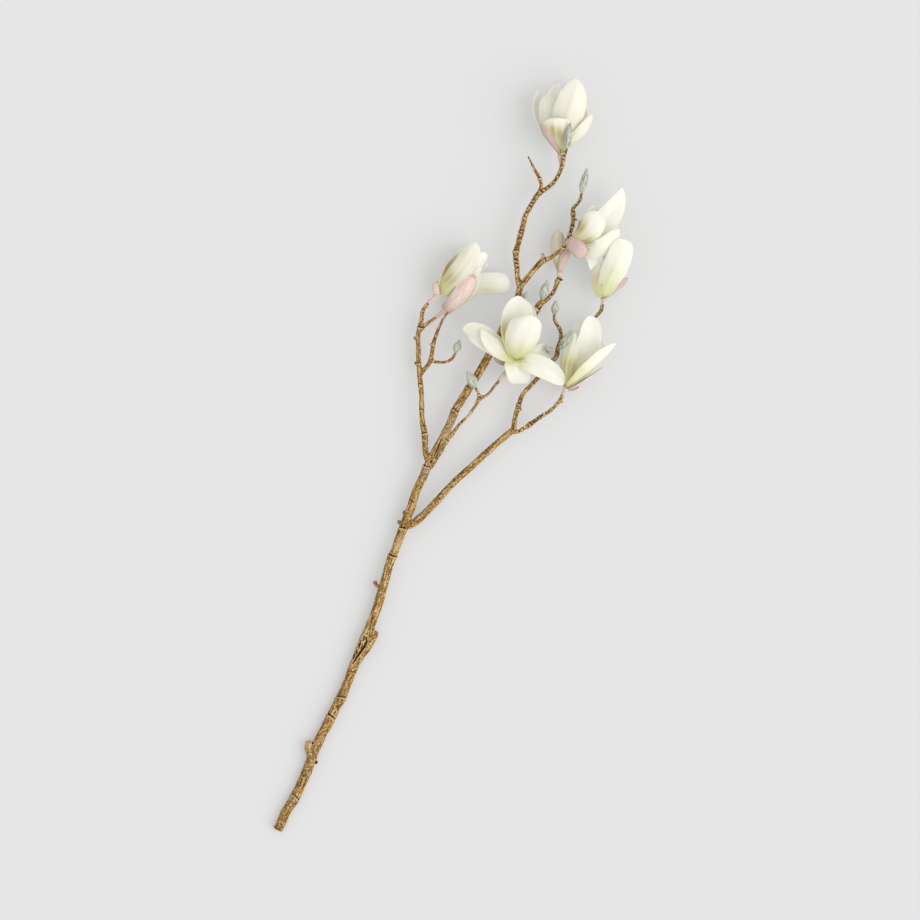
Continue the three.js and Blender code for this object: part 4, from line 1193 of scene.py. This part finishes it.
# ---- winter buds ----
# How wide a bud is along its length, as shares of both.
BUD_PROFILE = [
    (0, 0.36), (0.05, 0.5), (0.12, 0.66), (0.28, 0.94), (0.42, 1), (0.55, 0.94), (0.68, 0.76), (0.8, 0.54),
    (0.9, 0.34), (0.96, 0.2), (1, 0.02),
]


class MAGNOLIA_OT_buds(Operator):
    """Build the winter buds: two overlapping scales under silky fur"""
    bl_idname = "magnolia.buds"
    bl_label = "Winter Buds"

    def execute(self, context):
        look = context.scene.magnolia_bud
        material = bud_material(look)
        for k, (name, (foot, tip, radius)) in enumerate(BUDS.items()):
            foot, tip = np.array(foot, float), np.array(tip, float)
            axis = unit(tip - foot)
            side = unit(np.cross(axis, (0, 0, 1)))
            up = np.cross(side, axis)
            bud = ball_piece(name, 40, 34)
            ball = places(bud)
            u = np.arccos(np.clip(-ball[:, 2], -1, 1)) / math.pi
            middle = np.sin(math.pi * u)
            angle = np.arctan2(ball[:, 1], ball[:, 0])
            # The seam between the two scales winds round the bud, and the upper scale thins out from it.
            past_seam = np.mod(angle - 1.3 - 2.1 * u - k, ROUND)
            groove = bell(np.minimum(past_seam, ROUND - past_seam), 0.16) * ease(u, 0.1, 0.4)
            scale = 1 + 0.05 * (1 - ease(past_seam, 0, 2.4)) - 0.09 * groove
            width = np.interp(u, *zip(*BUD_PROFILE)) * radius * scale
            width += 0.2 * np.sin(5 * angle + 18 * u) * middle
            line = foot + (tip - foot) * u[:, None] + np.outer(0.8 * middle, (0, 0, 1))
            ring = side * np.cos(angle)[:, None] + up * np.sin(angle)[:, None]
            move_to(bud, in_frame(line + ring * width[:, None]))
            length = np.linalg.norm(tip - foot)
            round_it = (radius * np.cos(angle), radius * np.sin(angle) + 17 * k)
            keep(bud, "vein", np.stack([u * length, *round_it], 1))
            keep(bud, "groove", groove * 0.8)
            only(bud)
            bpy.ops.object.mode_set(mode="EDIT")
            bpy.ops.mesh.select_all(action="SELECT")
            bpy.ops.mesh.normals_make_consistent(inside=False)
            smooth(bud)
            way = in_frame(tip) - in_frame(foot)
            bud = add_fur(bud, look.hairs, look.hair, 0.09 * MM, 0.78, lambda root: way, 300 + k)
            bud.name = bud.data.name = "furred_" + name
            dress(bud, material, name)
        return {"FINISHED"}


# ---- the stage ----
PICTURE_MIDDLE = (218.4, 444, 0)  # the place in the drawing that the camera looks at, in millimetres
LIGHT_TURN = LIE_TURN - 0.35  # the light comes from the right of the branch and a little below it


class MAGNOLIA_OT_stage(Operator):
    """Lay the paper, hang the lights and set the camera straight above the branch"""
    bl_idname = "magnolia.stage"
    bl_label = "Stage"

    def execute(self, context):
        look = context.scene.magnolia_stage
        bpy.ops.mesh.primitive_plane_add(size=14, location=(0, 0, -0.0002))
        paper = context.object
        paper.name = "paper_ground"
        bpy.ops.object.transform_apply(location=True)
        paper.data.materials.append(paper_material(look))

        # The even light is brighter from the right and dimmer from the left, by the share look.slant.
        world = bpy.data.worlds.new("Even studio light")
        world.use_nodes = True
        sky = world.node_tree
        right = (math.cos(LIGHT_TURN), math.sin(LIGHT_TURN), 0)
        way = add(sky, "ShaderNodeTexCoord", out="Generated")
        side = add(sky, "ShaderNodeVectorMath", [(0, way), (1, right)], out="Value", operation="DOT_PRODUCT")
        slanted = [(0, side), (1, look.sky * look.slant), (2, look.sky)]
        level = add(sky, "ShaderNodeMath", slanted, operation="MULTIPLY_ADD")
        sky.links.new(level, sky.nodes["Background"].inputs["Strength"])
        sky.nodes["Background"].inputs["Color"].default_value = linear("#ffffff")
        context.scene.world = world

        bpy.ops.object.light_add(type="SUN", location=(1, 1, 2))
        key = context.object
        key.name = "Large soft light"
        key.data.energy = look.key_strength
        key.data.angle = look.key_spread
        low, high = math.cos(look.key_height), math.sin(look.key_height)
        toward = Vector((right[0] * low, right[1] * low, high))
        key.rotation_euler = toward.to_track_quat("Z", "Y").to_euler()

        x, y, _ = in_frame(PICTURE_MIDDLE)
        bpy.ops.object.camera_add(location=(x, y, look.camera_height))
        camera = context.object
        camera.rotation_euler = (0, 0, LIE_TURN)
        camera.data.lens = look.lens
        camera.data.sensor_width = 36
        camera.data.clip_end = 50
        context.scene.camera = camera
        context.scene.view_settings.view_transform = "Standard"
        return {"FINISHED"}


class VIEW3D_PT_magnolia(Panel):
    """Lists the settings and the steps of the magnolia branch"""
    bl_label = "Magnolia Branch"
    bl_idname = "VIEW3D_PT_magnolia"
    bl_space_type = "VIEW_3D"
    bl_region_type = "UI"
    bl_category = "Magnolia"

    def draw(self, context):
        for name, step in zip(LOOKS, STEPS):
            box = self.layout.box()
            box.operator(step.bl_idname)
            look = getattr(context.scene, name)
            for setting in look.__annotations__:
                box.prop(look, setting)


LOOKS = {
    "magnolia_bark": BarkLook, "magnolia_tepal": TepalLook, "magnolia_bract": BractLook,
    "magnolia_bud": BudLook, "magnolia_stage": StageLook,
}
STEPS = (MAGNOLIA_OT_wood, MAGNOLIA_OT_tepals, MAGNOLIA_OT_bracts, MAGNOLIA_OT_buds, MAGNOLIA_OT_stage)


def register():
    for group in (*LOOKS.values(), *STEPS, VIEW3D_PT_magnolia):
        bpy.utils.register_class(group)
    for name, group in LOOKS.items():
        setattr(bpy.types.Scene, name, PointerProperty(type=group))


def unregister():
    for name in LOOKS:
        delattr(bpy.types.Scene, name)
    for group in reversed((*LOOKS.values(), *STEPS, VIEW3D_PT_magnolia)):
        bpy.utils.unregister_class(group)


def main():
    register()
    bpy.ops.magnolia.wood()
    bpy.ops.magnolia.tepals()
    bpy.ops.magnolia.bracts()
    bpy.ops.magnolia.buds()
    bpy.ops.magnolia.stage()


if __name__ == "__main__":
    main()
